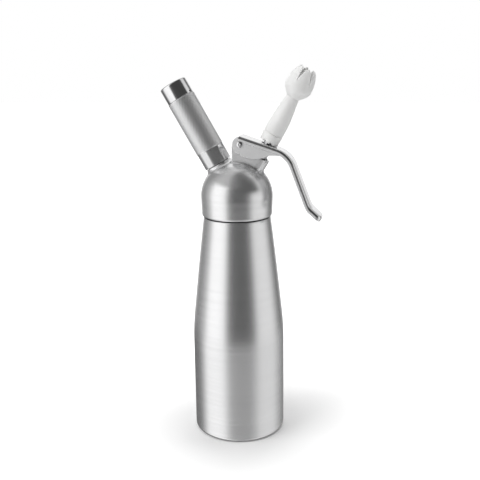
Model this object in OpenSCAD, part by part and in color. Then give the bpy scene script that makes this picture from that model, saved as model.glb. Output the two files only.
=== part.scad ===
// Whipped cream dispenser: a half-litre aluminium bottle, a domed head with a sprung lever,
// a tilted dispensing valve with a tulip tip, and a tilted holder for a small gas charger.
// Millimetres, +Z up. The origin is on the bottle's axis, on the surface it stands on.
// The lever and the tip point to +X, the charger holder to -X.

/* [Bottle] */
// Radius of the straight lower wall
bottle_r = 39; // [34:0.5:45]
// Height at which the straight wall meets the cone
shoulder_z = 93; // [70:1:115]
// Height of the top of the cone, where the head's skirt begins
bottle_h = 189.2; // [170:0.2:220]
// Radius of the cone at its top
cone_top_r = 28.1; // [27.8:0.1:28.6]
// How far the wall of the cone bows outwards half-way up
cone_bow = 0.35; // [0:0.05:1]
// Length of the soft blend on each side of the place where wall and cone meet
blend_len = 12; // [4:1:20]
// Radius of the rounded edge round the base
base_edge_r = 3.5; // [1:0.5:6]
// Thickness of the drawn wall
bottle_wall = 1.6; // [1:0.1:2.4]
// Thickness of the base
bottle_floor = 3; // [2:0.5:6]
// Depth of the ring groove turned in the base
base_groove_d = 0.6; // [0.2:0.1:1.2]
// Outer radius of that groove
base_groove_r = 27.3; // [24:0.1:30]
// Width of that groove
base_groove_w = 3.1; // [2:0.1:5]

/* [Bottle mouth] */
// Inner radius of the mouth
mouth_r = 22; // [18:0.5:23]
// Wall of the threaded neck
mouth_wall = 3.4; // [2.6:0.1:3.6]
// Height of the neck above the cone
mouth_h = 13.3; // [11:0.1:18]
// Pitch of the thread between bottle and head
neck_pitch = 3; // [2:0.25:4]
// Depth of the thread between bottle and head
neck_thread_d = 0.6; // [0.3:0.1:1]
// Clearance round a screw thread
thread_gap = 0.1; // [0.05:0.05:0.3]
// Clearance between flat faces that meet
face_gap = 0.05; // [0.02:0.01:0.1]
// Clearance round a shaft that turns or slides
run_gap = 0.05; // [0.02:0.01:0.09]
// Clearance round a piece that is pressed or screwed home
seat_gap = 0.03; // [0.01:0.01:0.08]

/* [Head] */
// Radius of the dome
dome_r = 30; // [29:0.5:34]
// Height of the dome's centre above the top of the bottle's cone
dome_rise = 17; // [16:0.5:20]
// Radius of the skirt at its lower edge, before the chamfer
skirt_r = 29.4; // [29:0.1:30]
// Open seam between the bottle and the skirt
seam = 0.9; // [0.5:0.1:1.5]
// Chamfer round the lower edge of the skirt
skirt_chamfer = 1.1; // [0.4:0.1:1.4]
// Thickness of the gasket between the mouth and the head
gasket_t = 2.4; // [1.5:0.1:3.5]
// Inner radius of the gasket
gasket_in_r = 20; // [17:0.5:21]
// Height of the hollow in the head above the gasket
hollow_h = 11.8; // [10:0.2:14]
// Radius at the top of that hollow
hollow_top_r = 14.5; // [13:0.5:17]

/* [Yoke] */
// Width of the yoke between the lever's cheeks
yoke_w = 16; // [14:0.5:17]
// Distance from the bottle's axis back to the yoke's rear wall
yoke_back = 2.3; // [1:0.1:4]
// Radius of the fillets where the yoke and the port grow out of the dome
fillet_r = 2.4; // [1:0.1:3]
// Distance of the lever pin from the bottle's axis
pin_x = 4.86; // [3:0.02:7]
// Height of the lever pin above the dome's centre
pin_rise = 44; // [43:0.5:46]
// Radius of the lever pin
pin_r = 2; // [1.5:0.1:2.2]
// Radius of the pin's head
pin_head_r = 2.5; // [2.2:0.1:3.4]
// Radius of the lug round the pin
lug_r = 4.4; // [4:0.1:4.6]

/* [Lever] */
// Width over the lever's two sides
lever_w = 19.5; // [19.5:0.1:21]
// Thickness of the lever's sheet
lever_t = 1.5; // [1:0.1:1.6]
// Outer radius of the bends along both sides
lever_bend_r = 2.5; // [2:0.1:3]
// Radius of the eyes round the pin, and of the top face above the pin
eye_r = 6.3; // [6.3:0.1:7]
// Slope of the lever's top below level
lever_top_deg = 18; // [16:0.5:19]
// Slope of the handle below level
handle_deg = 69; // [60:1:75]
// Length of the top from above the pin to the sharp corner of the bend
lever_top_len = 40.7; // [38:0.1:46]
// Radius of the bend between top and handle
handle_bend_r = 23; // [16:1:24]
// Length of the handle between the corners of its two bends
handle_len = 47.3; // [40:0.1:60]
// Slope of the flared tip below level
flare_deg = 41; // [30:1:50]
// Radius of the bend before the flared tip
flare_bend_r = 9; // [8:1:14]
// Length of the flared tip from the corner of its bend
flare_len = 13.1; // [10:0.1:18]
// Depth of the sides along the handle
side_depth = 4.2; // [3:0.1:5]
// Radius of the corners of the flared tip
tip_corner_r = 5; // [3:0.5:9]
// How far the cheeks reach below the pin
cheek_drop = 11.9; // [10:0.1:12.5]
// Radius of the cheeks' lower edge
cheek_arc_r = 24.5; // [20:0.5:30]
// How far the cheeks' front ends reach below the pin
cheek_step = 8.7; // [8:0.1:9.5]
// How far the lever turns when it is pressed
press_deg = 10; // [6:1:10]

/* [Valve] */
// Tilt of the valve from upright
valve_tilt = 28.75; // [27:0.25:30]
// Distance of the valve's axis from the bottle's axis at the height of the dome's centre
valve_x = 2.2; // [1.5:0.1:3]
// Height of the boss's flat top along the valve's axis
boss_top = 37.7; // [36.5:0.1:38.5]
// Radius of the valve stem
stem_r = 3.5; // [3.2:0.1:3.6]
// Radius of the passage in the stem
stem_bore_r = 1.8; // [1.2:0.1:1.9]
// Radius of the four ports that let the cream in
port_r = 1.1; // [0.8:0.1:1.2]
// Height of the valve seat along the valve's axis
seat_p = 14; // [13.6:0.1:14.4]
// Radius of the seal that closes on the seat
seat_seal_r = 5.2; // [4.9:0.1:5.4]
// Depth of the spring's pocket in the boss
pocket_d = 11.7; // [10:0.1:13]
// Radius of the spring's pocket
pocket_r = 5.9; // [5.6:0.1:6.2]
// Height of the bush at the bottom of the pocket
bush_h = 3.5; // [2:0.5:4]
// Radius of the cap that rests on the spring
cap_r = 6; // [5.6:0.1:6.2]
// Thickness of that cap
cap_t = 2.2; // [1.5:0.1:2.6]
// Radius of the spring wire
wire_r = 0.55; // [0.4:0.05:0.6]
// Turns of the spring
spring_turns = 6.5; // [4:0.5:7]

/* [Tip] */
// Height of the adapter's lower edge along the valve's axis
adapter_p = 51.75; // [51.75:0.05:53]
// Height of the adapter's collar
adapter_h = 7.9; // [6:0.1:10]
// Radius of the collar at its lower edge
adapter_low_r = 7.9; // [7.4:0.1:8.2]
// Radius of the collar at its upper edge
adapter_top_r = 8.4; // [8.2:0.1:9]
// Notches in the collar's lower edge
adapter_notches = 8; // [4:1:10]
// Radius of the adapter's threaded spigot
spigot_r = 6.4; // [5.8:0.1:6.6]
// Height of the spigot
spigot_h = 5.4; // [4:0.1:7]
// Pitch of the threads on the adapter and the charger stud
fine_pitch = 1.5; // [1:0.25:1.5]
// Thickness of the seal in the tip
tip_seal_t = 1.4; // [1:0.1:2]
// Radius of the tip's lower end
tip_base_r = 8.15; // [8:0.05:8.6]
// Length of the tip's straight lower end
tip_base_len = 8.3; // [8:0.1:12]
// Length of the taper above it
tip_taper_len = 24.2; // [16:0.1:28]
// Radius of the tip's waist
tip_waist_r = 5.3; // [4.6:0.1:6]
// Length from the waist to the widest place of the tulip
tulip_low_len = 9.3; // [8:0.1:15]
// Widest radius of the tulip
tulip_r = 11.25; // [10:0.05:13]
// Length from the widest place to the tips of the teeth
tulip_top_len = 16.2; // [12:0.1:20]
// Radius at the mouth
mouth_tip_r = 6.6; // [6:0.1:8]
// Wall of the tip
tip_wall = 1.4; // [1:0.1:1.8]
// Teeth round the mouth
teeth = 6; // [5:1:8]
// Depth of the slots between the teeth
slot_len = 11.5; // [8:0.5:14]
// Width of the slots at the mouth
slot_w = 3.3; // [2:0.1:4]
// Turn of the first slot round the axis
slot_turn = 195; // [0:5:355]

/* [Charger holder] */
// Tilt of the holder from upright
holder_tilt = 29.9; // [28:0.1:32]
// Radius of the port that the holder screws down to
port_neck_r = 11; // [10.4:0.1:11.2]
// Height of the port's face along the holder's axis
port_face = 30.6; // [30:0.1:32]
// Open seam between port and holder
holder_seam = 0.4; // [0.3:0.1:1]
// Radius of the knurled grip
grip_r = 11.9; // [11.7:0.1:13]
// Radius of the plain bands above and below the grip
band_r = 11.7; // [11.4:0.1:12.5]
// Height of the lower band
band_h = 14.1; // [12:0.1:18]
// Height of the knurled grip
grip_h = 47; // [42:0.5:54]
// Height of the end cap
end_cap_h = 14.5; // [11:0.1:18]
// How far the end of the cap is domed
end_dome = 0.9; // [0.3:0.1:2]
// Radius of the vent hole
vent_r = 0.9; // [0.5:0.1:1]
// Direction of the vent hole round the axis
vent_turn = 340; // [0:5:355]
// Radius of the stud's thread
stud_r = 9.7; // [9.4:0.1:9.8]
// Height of the stud's thread
stud_h = 13.4; // [10:0.1:14]
// Radius of the stud's plug in the port
stud_plug_r = 7; // [6:0.1:7.5]
// Length of that plug
stud_plug_h = 10; // [8:0.5:11]
// Radius of the recess for the charger's neck
recess_r = 4.9; // [4.7:0.1:5.2]

/* [Gas charger] */
// Radius of the charger
charger_r = 8.9; // [8.6:0.1:9]
// Length of the charger
charger_len = 65.5; // [63:0.1:66]
// Radius of the charger's neck
charger_neck_r = 4.3; // [3.8:0.1:4.5]
// Length of the charger's neck
charger_neck_h = 8.6; // [8:0.1:10]
// Length of the charger's rounded shoulder
charger_shoulder_h = 13; // [10:0.5:16]
// Wall of the charger
charger_wall = 1.2; // [0.8:0.1:1.6]
// Thickness of the seal that the charger's neck presses on
inlet_seal_t = 1.5; // [1:0.1:2]
// Radius of the piercing pin's point
needle_r = 1.2; // [0.8:0.1:1.4]
// How far the point reaches into the charger
needle_in = 1.6; // [1:0.1:2.4]

/* [Hidden] */
$fn = 96;

// Sizes worked out from the driving ones
eps = 0.01;
big = 200;
// How far a cutting tool sticks out of what it cuts
over = 1;
dome_z = bottle_h + dome_rise;
skirt_z = bottle_h + seam;
rim_z = bottle_h + mouth_h;
neck_crest_r = mouth_r + mouth_wall;
head_bore_r = neck_crest_r + thread_gap;
ceiling_z = rim_z + gasket_t + 2 * face_gap;
hollow_r = gasket_in_r;
hollow_top_z = ceiling_z + hollow_h;
pin_z = dome_z + pin_rise;

// Places along the valve's axis, counted from the height of the dome's centre
pocket_p = boss_top - pocket_d;
spring_p = pocket_p + bush_h;
pin_u = (pin_x - valve_x) * cos(valve_tilt) - pin_rise * sin(valve_tilt);
pin_p = (pin_x - valve_x) * sin(valve_tilt) + pin_rise * cos(valve_tilt);
web_low = eye_r - lever_t;
rest_deg = valve_tilt - lever_top_deg;
reach = -pin_u - cap_r;
function web_p(deg) = pin_p + (web_low + reach * sin(deg)) / cos(deg);
cap_play = 0.1;
stem_shy = 0.3;
cap_top = web_p(rest_deg) - cap_play;
cap_p = cap_top - cap_t;
stroke = web_p(rest_deg) - web_p(rest_deg - press_deg);
echo(str("valve stroke ", stroke, " mm, ", stroke / (press_deg * PI / 180), " mm per radian"));
adapter_top = adapter_p + adapter_h;
spigot_top = adapter_top + spigot_h;
stem_top = spigot_top + tip_seal_t - stem_shy;
tip_p = adapter_top + face_gap;
ledge_p = spigot_top + tip_seal_t + 2 * face_gap;
taper_p = tip_p + tip_base_len;
waist_p = taper_p + tip_taper_len;
bulge_p = waist_p + tulip_low_len;
mouth_p = bulge_p + tulip_top_len;

// Places along the holder's axis, counted from the dome's centre
recess_d = 2.7;
charger_play = 0.3;
holder_q = port_face + holder_seam;
grip_q = holder_q + band_h;
cap_q = grip_q + grip_h;
holder_top_q = cap_q + end_cap_h;
stud_top_q = port_face + stud_h;
recess_q = port_face + recess_d;
seal_top_q = recess_q + face_gap + inlet_seal_t;
charger_q = seal_top_q + 2 * face_gap;
charger_end_q = charger_q + charger_len;
charger_bore_r = charger_r + charger_play;
stud_bore_r = stud_r + thread_gap;
insert_r = 3;
insert_tail_r = 1.9;
insert_tail_h = 3;
insert_q = port_face - stud_plug_h;

// Two parts of a path: where a corner lies beyond a bend of radius r that turns by deg
function bend_len(r, deg) = r * tan(deg / 2);
function arc(x, z, r, from, to, steps) =
    [for (i = [0 : steps]) let (a = from + (to - from) * i / steps) [x + r * cos(a), z + r * sin(a)]];

// Radius of the cone's wall at height z
function cone_r(z) = let (t = (z - shoulder_z) / (bottle_h - shoulder_z))
    bottle_r + (cone_top_r - bottle_r) * t + 4 * cone_bow * t * (1 - t);

// A soft curve from the straight wall into the cone, drawn in by inset
function wall_points(inset, z_end) = let (
    a = [bottle_r, shoulder_z - blend_len],
    c = [bottle_r, shoulder_z],
    b = [cone_r(shoulder_z + blend_len), shoulder_z + blend_len],
    steps = 6, rise = z_end - shoulder_z - blend_len)
    concat(
        [for (i = [0 : steps]) let (t = i / steps)
            (1 - t) * (1 - t) * a + 2 * t * (1 - t) * c + t * t * b - [inset, 0]],
        [for (i = [1 : steps]) let (z = shoulder_z + blend_len + rise * i / steps) [cone_r(z) - inset, z]]);

// Outline of a screw thread's grooves on a crest of radius r, from z up
function grooves(r, z, depth, pitch, count) = [for (i = [0 : count - 1]) for (k = [0 : 3])
    [r - (k == 1 || k == 2 ? depth : 0), z + pitch * (i + [0.1, 0.35, 0.55, 0.8][k])]];

module on_valve(p = 0) {
    translate([valve_x, 0, dome_z]) rotate([0, valve_tilt, 0]) translate([0, 0, p]) children();
}

module on_holder(q = 0) {
    translate([0, 0, dome_z]) rotate([0, -holder_tilt, 0]) translate([0, 0, q]) children();
}

// A plain ring about the z axis
module ring(inner, outer, h) {
    difference() {
        cylinder(h = h, r = outer);
        translate([0, 0, -1]) cylinder(h = h + 2, r = inner);
    }
}

module bottle() {
    top_edge = 0.8;
    relief_h = 1.6;
    thread_low = 2;
    thread_spare = 3;
    lip_edge = 0.6;
    floor_r = 4;
    neck_run = 10;
    color([0.77, 0.78, 0.79])
    difference() {
        rotate_extrude() polygon(concat(
            [[0, 0]],
            arc(bottle_r - base_edge_r, base_edge_r, base_edge_r, -90, 0, 8),
            wall_points(0, bottle_h - top_edge),
            [[cone_top_r - top_edge, bottle_h], [neck_crest_r - neck_thread_d, bottle_h]],
            [[neck_crest_r - neck_thread_d, bottle_h + relief_h]],
            grooves(neck_crest_r, bottle_h + thread_low, neck_thread_d, neck_pitch,
                floor((mouth_h - thread_spare) / neck_pitch)),
            [[neck_crest_r, rim_z - lip_edge], [neck_crest_r - lip_edge, rim_z], [0, rim_z]]));
        rotate_extrude() polygon(concat(
            [[0, bottle_floor]],
            arc(bottle_r - bottle_wall - floor_r, bottle_floor + floor_r, floor_r, -90, 0, 6),
            wall_points(bottle_wall, bottle_h - neck_run),
            [[mouth_r, bottle_h - thread_low], [mouth_r, rim_z + over], [0, rim_z + over]]));
        translate([0, 0, -over])
            ring(base_groove_r - base_groove_w, base_groove_r, over + base_groove_d);
    }
}

module head_gasket() {
    color([0.9, 0.9, 0.88]) translate([0, 0, rim_z + face_gap])
        ring(gasket_in_r, neck_crest_r - 0.2, gasket_t);
}

// Outline of the yoke seen from the side, in x and z
function on_plane(u, p) = [valve_x + u * cos(valve_tilt) + p * sin(valve_tilt),
    dome_z - u * sin(valve_tilt) + p * cos(valve_tilt)];

yoke_rear_drop = 2.6;
yoke_rear_z = dome_z + 18;
yoke_root = 16;

function yoke_outline() = let (
    rear = [lug_r - yoke_back, pin_z - yoke_rear_drop],
    lean = atan2(pin_z - rear[1], pin_x - rear[0]),
    side = sqrt(lug_r * lug_r - (pin_p - boss_top) * (pin_p - boss_top)))
    concat(
        [[-yoke_back, yoke_rear_z]],
        arc(rear[0], rear[1], lug_r, 180, 90 + lean, 6),
        arc(pin_x, pin_z, lug_r, 90 + lean, -valve_tilt - asin((pin_p - boss_top) / lug_r), 12),
        [on_plane(0, boss_top), on_plane(0, yoke_root)]);

// Where the boss, the port's neck and the fillets begin inside the dome, and the trimming tools' size
boss_root = 12;
port_root = 15;
fillet_root = 20;
trim = 2 * dome_r;
boss_lap_deg = 2;

// The boss's rounded end stands on a line from the dome's centre to the top of the valve bore
boss_at = on_plane(0, boss_top);
boss_tilt = atan2(boss_at[0], boss_at[1] - dome_z);

// Concave blend between a wall at distance w from the axis and the dome, as a turned outline.
// Both its ends are sunk a little into what they meet.
function fillet_outline(w, f, low) = let (
    sink = 0.06, x = w + f - sink,
    rise = sqrt((dome_r + f - sink) * (dome_r + f - sink) - x * x),
    foot = x * (1 - f / (dome_r + f - sink)))
    concat([[w - 1, low], [foot, low]],
        arc(x, rise, f, 180 + atan2(rise, x), 180, 6),
        [[w - 1, rise]]);

module yoke() {
    rotate([90, 0, 0]) linear_extrude(yoke_w, center = true) polygon(yoke_outline());
    intersection() {
        translate([0, 0, dome_z]) rotate([0, boss_tilt, 0]) union() {
            translate([0, 0, boss_root]) cylinder(h = boss_top, r = yoke_w / 2);
            rotate_extrude() polygon(fillet_outline(yoke_w / 2, fillet_r, fillet_root));
        }
        on_valve(boss_top - trim) cylinder(h = trim, r = dome_r);
        // Below its top the rounded end begins a little behind its own centre plane, inside the walls
        translate([boss_at[0], 0, boss_at[1]]) rotate([0, boss_tilt + boss_lap_deg, 0])
            translate([0, -dome_r, -trim]) cube([trim, 2 * dome_r, 2 * trim]);
    }
    // Fillets along both side walls, turned about the dome's cross axis
    for (s = [-1, 1]) translate([0, 0, dome_z]) rotate([90, 0, 0])
        rotate([0, 0, 90 - boss_tilt]) rotate_extrude(angle = boss_tilt + asin(yoke_back / dome_r))
            polygon([for (q = fillet_outline(yoke_w / 2, fillet_r, fillet_root)) [q[1], s * q[0]]]);
}

module head() {
    seal_room = 0.8;
    lug_room = 5;
    color([0.74, 0.75, 0.76])
    difference() {
        union() {
            difference() {
                translate([0, 0, dome_z]) sphere(r = dome_r);
                translate([0, 0, dome_z - big]) cube([big, big, 2 * big], center = true);
            }
            translate([0, 0, skirt_z + skirt_chamfer])
                cylinder(h = dome_z - skirt_z - skirt_chamfer, r1 = skirt_r, r2 = dome_r);
            translate([0, 0, skirt_z])
                cylinder(h = skirt_chamfer, r1 = skirt_r - skirt_chamfer, r2 = skirt_r);
            on_holder() {
                translate([0, 0, port_root]) cylinder(h = port_face - port_root, r = port_neck_r);
                rotate_extrude() polygon(fillet_outline(port_neck_r, fillet_r, fillet_root));
            }
            yoke();
        }
        // Threaded socket for the bottle's neck, and the hollow above its gasket
        translate([0, 0, skirt_z - over]) cylinder(h = ceiling_z - skirt_z + over, r = head_bore_r);
        translate([0, 0, ceiling_z - eps])
            cylinder(h = hollow_h + eps, r1 = hollow_r, r2 = hollow_top_r);
        // Hole for the pin
        translate([pin_x, 0, pin_z]) rotate([90, 0, 0])
            cylinder(h = yoke_w + 4, r = pin_r + seat_gap, center = true);
        // Valve bore, seat and spring pocket
        on_valve() {
            cylinder(h = pin_p + lug_r, r = stem_r + run_gap);
            cylinder(h = seat_p, r = seat_seal_r + seal_room);
            translate([0, 0, pocket_p]) cylinder(h = pocket_d + lug_room, r = pocket_r);
        }
        // Port for the charger stud and the piercing pin
        on_holder() {
            cylinder(h = port_face, r = insert_r + seal_room);
            translate([0, 0, insert_q]) cylinder(h = stud_plug_h + over, r = stud_plug_r + seat_gap);
        }
    }
}

// The pin's head stands off the cheek by shim, with a straight rim under its low dome
module lever_pin() {
    side = lever_w / 2;
    tail = 1.6;
    rim_low = side + shim;
    rim_high = rim_low + 0.3;
    crown = 0.7;
    ball = dome_of(pin_head_r, crown);
    color([0.72, 0.73, 0.75]) translate([pin_x, 0, pin_z]) rotate([90, 0, 0]) {
        translate([0, 0, -side - tail]) cylinder(h = side + tail + rim_low + shim, r = pin_r);
        translate([0, 0, rim_low]) cylinder(h = rim_high - rim_low, r = pin_head_r);
        // The head's low dome is a slice of a ball
        intersection() {
            translate([0, 0, rim_high + crown - ball]) sphere(r = ball);
            translate([0, 0, rim_high]) cylinder(h = crown + over, r = pin_head_r);
        }
    }
}

shim = 0.1;

// Radius of the ball whose slice of height h has the rim radius r
function dome_of(r, h) = (r * r + h * h) / (2 * h);

module pin_clip() {
    clip_t = 0.8;
    clip_rim = 1;
    clip_slot = 1.8;
    color([0.55, 0.56, 0.58]) translate([pin_x, lever_w / 2 + shim, pin_z]) rotate([-90, 0, 0])
        difference() {
            cylinder(h = clip_t, r = pin_head_r + clip_rim);
            translate([0, 0, -over]) cylinder(h = clip_t + 2 * over, r = pin_r + seat_gap);
            translate([0, -clip_slot / 2, -over])
                cube([pin_head_r + clip_rim + over, clip_slot, clip_t + 2 * over]);
        }
}

// The lever's sheet in cross-section: across is x, outwards is y. Inset draws it in all round.
module channel_outer(depth, inset = 0) {
    side = lever_w / 2 - inset;
    for (s = [-1, 1]) translate([s * (side - lever_bend_r), -inset - lever_bend_r])
        circle(r = lever_bend_r);
    translate([-side + lever_bend_r, -inset - lever_bend_r])
        square([2 * (side - lever_bend_r), lever_bend_r]);
    translate([-side, -inset - depth]) square([2 * side, depth - lever_bend_r]);
}

module channel_inner(depth, inset = 0) {
    side = lever_w / 2 - inset - lever_t;
    inner_r = lever_bend_r - lever_t;
    for (s = [-1, 1]) translate([s * (side - inner_r), -inset - lever_bend_r])
        circle(r = inner_r);
    translate([-side + inner_r, -inset - lever_bend_r - eps])
        square([2 * (side - inner_r), inner_r + eps]);
    translate([-side, -inset - depth - 1]) square([2 * side, depth + 1 - lever_bend_r]);
}

module channel(inset = 0) {
    difference() {
        channel_outer(side_depth, inset);
        channel_inner(side_depth, inset);
    }
}

// The lever's path: each frame has x along the path and z outwards
module at_top(w = 0) {
    translate([pin_x, 0, pin_z]) rotate([0, lever_top_deg, 0]) translate([w, 0, eye_r]) children();
}

module at_handle(w = 0) {
    at_top(lever_top_len) rotate([0, handle_deg - lever_top_deg, 0]) translate([w, 0, 0]) children();
}

module at_flare(w = 0) {
    at_handle(handle_len) rotate([0, flare_deg - handle_deg, 0]) translate([w, 0, 0]) children();
}

// A run of a cross-section along x. It laps into the bends at both ends.
module run(len) {
    translate([-lap, 0, 0]) rotate([90, 0, 90]) linear_extrude(len + 2 * lap) children();
}

lap = 0.5;
nest = 0.05;
top_turn = handle_deg - lever_top_deg;
flare_turn = handle_deg - flare_deg;
top_cut = bend_len(handle_bend_r, top_turn);
flare_cut = bend_len(flare_bend_r, flare_turn);
top_run = lever_top_len - top_cut;
handle_run = handle_len - top_cut - flare_cut;
web_start = -2.5;
slot_half_w = stem_r + 0.4;
function slot_mid(deg) = (-pin_u + (web_low + lever_t / 2) * sin(deg)) / cos(deg);

// A point of the lever's side view, relative to the pin: w along the top, up from the pin
function top_at(w, up) = [w * cos(lever_top_deg) + up * sin(lever_top_deg),
    up * cos(lever_top_deg) - w * sin(lever_top_deg)];

// Middle of the cheek's shallow arc, counted from the pin, and the small notches at its ends
cheek_arc_x = 12.1;
notch_low = 0.5;
notch_high = 1;
notch_w = 0.4;

// A cheek's lower edge: round the eye, a shallow arc, a small notch, then level to the bend
function cheek_outline() = let (
    bend = top_at(top_run, eye_r - handle_bend_r),
    free_r = handle_bend_r - side_depth,
    turn = asin((-cheek_step - bend[1]) / free_r),
    arc_z = cheek_arc_r - cheek_drop,
    arc_end = asin((arc_z + cheek_step + notch_low) / cheek_arc_r),
    under = eye_r - lever_bend_r - notch_low)
    concat(
        [top_at(web_start + 0.6, under), [-4.9, -3.9], [-3.4, -6.4], [-1.6, -7.5]],
        [[cheek_arc_x - cheek_arc_r * cos(arc_end), -cheek_step + notch_high]],
        arc(cheek_arc_x, arc_z, cheek_arc_r, 180 + arc_end, 360 - arc_end, 10),
        [[cheek_arc_x + cheek_arc_r * cos(arc_end) + notch_w, -cheek_step]],
        [bend + free_r * [cos(turn), sin(turn)], bend + (free_r + over) * [cos(turn), sin(turn)]],
        [bend + (free_r + over) * [cos(90 - lever_top_deg), sin(90 - lever_top_deg)]],
        [top_at(top_run, under)]);

// One cheek with its eye. The eye is cut where the bent edge takes over.
module cheek_side() {
    difference() {
        union() {
            circle(r = eye_r);
            polygon(cheek_outline());
        }
        rotate(-lever_top_deg) translate([web_start + 0.3, eye_r - lever_bend_r - notch_low])
            square(2 * lever_bend_r + eye_r);
    }
}

// Plan of the flared tip with its rounded corners, drawn in by inset
module tip_plan(inset) {
    end = flare_len - inset;
    side = lever_w / 2 - inset;
    r = tip_corner_r - inset;
    translate([0, 0, -10]) {
        translate([-10, -side - inset - 1, 0]) cube([end - r + 10, 2 * (side + inset + 1), 20]);
        translate([end - r - eps, -side + r, 0]) cube([r + eps, 2 * (side - r), 20]);
        for (s = [-1, 1]) translate([end - r, s * (side - r), 0]) cylinder(h = 20, r = r);
    }
}

module lever() {
    color([0.8, 0.8, 0.81])
    difference() {
        union() {
            at_top(web_start + lap) run(top_run - web_start - lap) channel();
            at_top(top_run) translate([0, 0, -handle_bend_r]) rotate([90, 0, 0])
                rotate([0, 0, 90 - top_turn]) rotate_extrude(angle = top_turn)
                    translate([handle_bend_r, 0]) rotate(-90) channel(nest);
            at_handle(top_cut) run(handle_run) channel();
            at_handle(handle_len - flare_cut) translate([0, 0, flare_bend_r]) rotate([90, 0, 0])
                rotate([0, 0, -90]) rotate_extrude(angle = flare_turn)
                    translate([flare_bend_r, 0]) rotate(90) channel(nest);
            // The flared tip is closed all round by its turned-down lip
            difference() {
                intersection() {
                    at_flare(flare_cut) run(flare_len - flare_cut + 1) channel_outer(side_depth);
                    at_flare() tip_plan(0);
                }
                intersection() {
                    at_flare(flare_cut - 1) run(flare_len - flare_cut + 2) channel_inner(side_depth);
                    at_flare() tip_plan(lever_t);
                }
            }
            for (s = [-1, 1]) translate([pin_x, s * (lever_w / 2 - lever_t / 2 - nest / 2), pin_z])
                rotate([90, 0, 0]) linear_extrude(lever_t, center = true) cheek_side();
        }
        translate([pin_x, 0, pin_z]) rotate([90, 0, 0])
            cylinder(h = lever_w + 4, r = pin_r + run_gap, center = true);
        // Slot for the valve stem, as long as the stem's way through the web needs
        at_top() {
            from = slot_mid(rest_deg - press_deg);
            to = slot_mid(rest_deg) + 0.2;
            for (w = [from, to]) translate([w, 0, -4]) cylinder(h = 8, r = slot_half_w);
            translate([from, -slot_half_w, -4]) cube([to - from, 2 * slot_half_w, 8]);
        }
    }
}

// Places on the stem, its thinner lower end and the groove for its ring
spigot_low = seat_p - 4.6;
shoulder_p = seat_p - 1;
ring_p = seat_p + 6;
stem_low_r = 2.3;
stem_edge = 0.3;
ring_groove_d = 0.9;
ring_groove_w = 1.3;
ring_wire_r = 0.45;
seat_seal_lip = 1.6;
retainer_t = 2;

module valve_stem() {
    color([0.72, 0.73, 0.75]) on_valve() difference() {
        rotate_extrude() polygon([[0, spigot_low], [stem_low_r - stem_edge, spigot_low],
            [stem_low_r, spigot_low + stem_edge], [stem_low_r, shoulder_p], [stem_r, shoulder_p],
            [stem_r, ring_p], [stem_r - ring_groove_d, ring_p],
            [stem_r - ring_groove_d, ring_p + ring_groove_w], [stem_r, ring_p + ring_groove_w],
            [stem_r, stem_top - stem_edge], [stem_r - stem_edge, stem_top], [0, stem_top]]);
        translate([0, 0, seat_p]) cylinder(h = stem_top, r = stem_bore_r);
        for (a = [0, 90]) translate([0, 0, seat_p + port_r + 0.2]) rotate([90, 0, a])
            cylinder(h = 4 * stem_r, r = port_r, center = true);
    }
}

module stem_o_ring() {
    mid = stem_r - ring_groove_d + ring_wire_r + 0.02;
    color([0.12, 0.12, 0.12]) on_valve(ring_p + ring_groove_w / 2) rotate_extrude()
        translate([mid, 0]) circle(r = ring_wire_r);
}

module valve_seat_seal() {
    color([0.85, 0.3, 0.2]) on_valve() rotate_extrude() polygon([
        [stem_low_r + seat_gap, shoulder_p - seat_seal_lip], [seat_seal_r, shoulder_p - seat_seal_lip],
        [seat_seal_r, seat_p - 2 * face_gap], [stem_r + seat_gap, seat_p - 2 * face_gap],
        [stem_r + seat_gap, shoulder_p - face_gap], [stem_low_r + seat_gap, shoulder_p - face_gap]]);
}

module seal_retainer() {
    color([0.7, 0.71, 0.73]) on_valve(shoulder_p - seat_seal_lip - face_gap - retainer_t)
        ring(stem_low_r + seat_gap, seat_seal_r + 0.2, retainer_t);
}

module valve_bush() {
    color([0.78, 0.66, 0.4]) on_valve(pocket_p)
        ring(stem_r + run_gap, pocket_r - seat_gap, bush_h);
}

// The spring is one tube along a helix: a ring of wire points at each step, joined by triangles
coil_r = (stem_r + pocket_r) / 2;
wire_sides = 6;
turn_steps = 8;
spring_low = spring_p + face_gap + wire_r;
spring_high = cap_p - face_gap - wire_r;
spring_steps = round(spring_turns * turn_steps);
spring_pitch = (spring_high - spring_low) / spring_turns;
echo(str("least gap between the spring's curls ", spring_pitch - 2 * wire_r, " mm"));

function coil_point(i, k) = let (
    a = 360 * i / turn_steps, b = 360 * k / wire_sides,
    r = coil_r + wire_r * cos(b))
    [r * cos(a), r * sin(a), spring_low + spring_pitch * i / turn_steps + wire_r * sin(b)];

module valve_spring() {
    points = concat(
        [for (i = [0 : spring_steps]) for (k = [0 : wire_sides - 1]) coil_point(i, k)],
        [for (i = [0, spring_steps]) let (a = 360 * i / turn_steps)
            [coil_r * cos(a), coil_r * sin(a), spring_low + spring_pitch * i / turn_steps]]);
    n = (spring_steps + 1) * wire_sides;
    faces = concat(
        [for (i = [0 : spring_steps - 1]) for (k = [0 : wire_sides - 1])
            let (a = i * wire_sides + k, b = i * wire_sides + (k + 1) % wire_sides)
            each [[a, b, b + wire_sides], [a, b + wire_sides, a + wire_sides]]],
        [for (k = [0 : wire_sides - 1]) [n, (k + 1) % wire_sides, k]],
        [for (k = [0 : wire_sides - 1])
            [n + 1, n - wire_sides + k, n - wire_sides + (k + 1) % wire_sides]]);
    color([0.6, 0.61, 0.63]) on_valve() polyhedron(points, faces);
}

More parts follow.
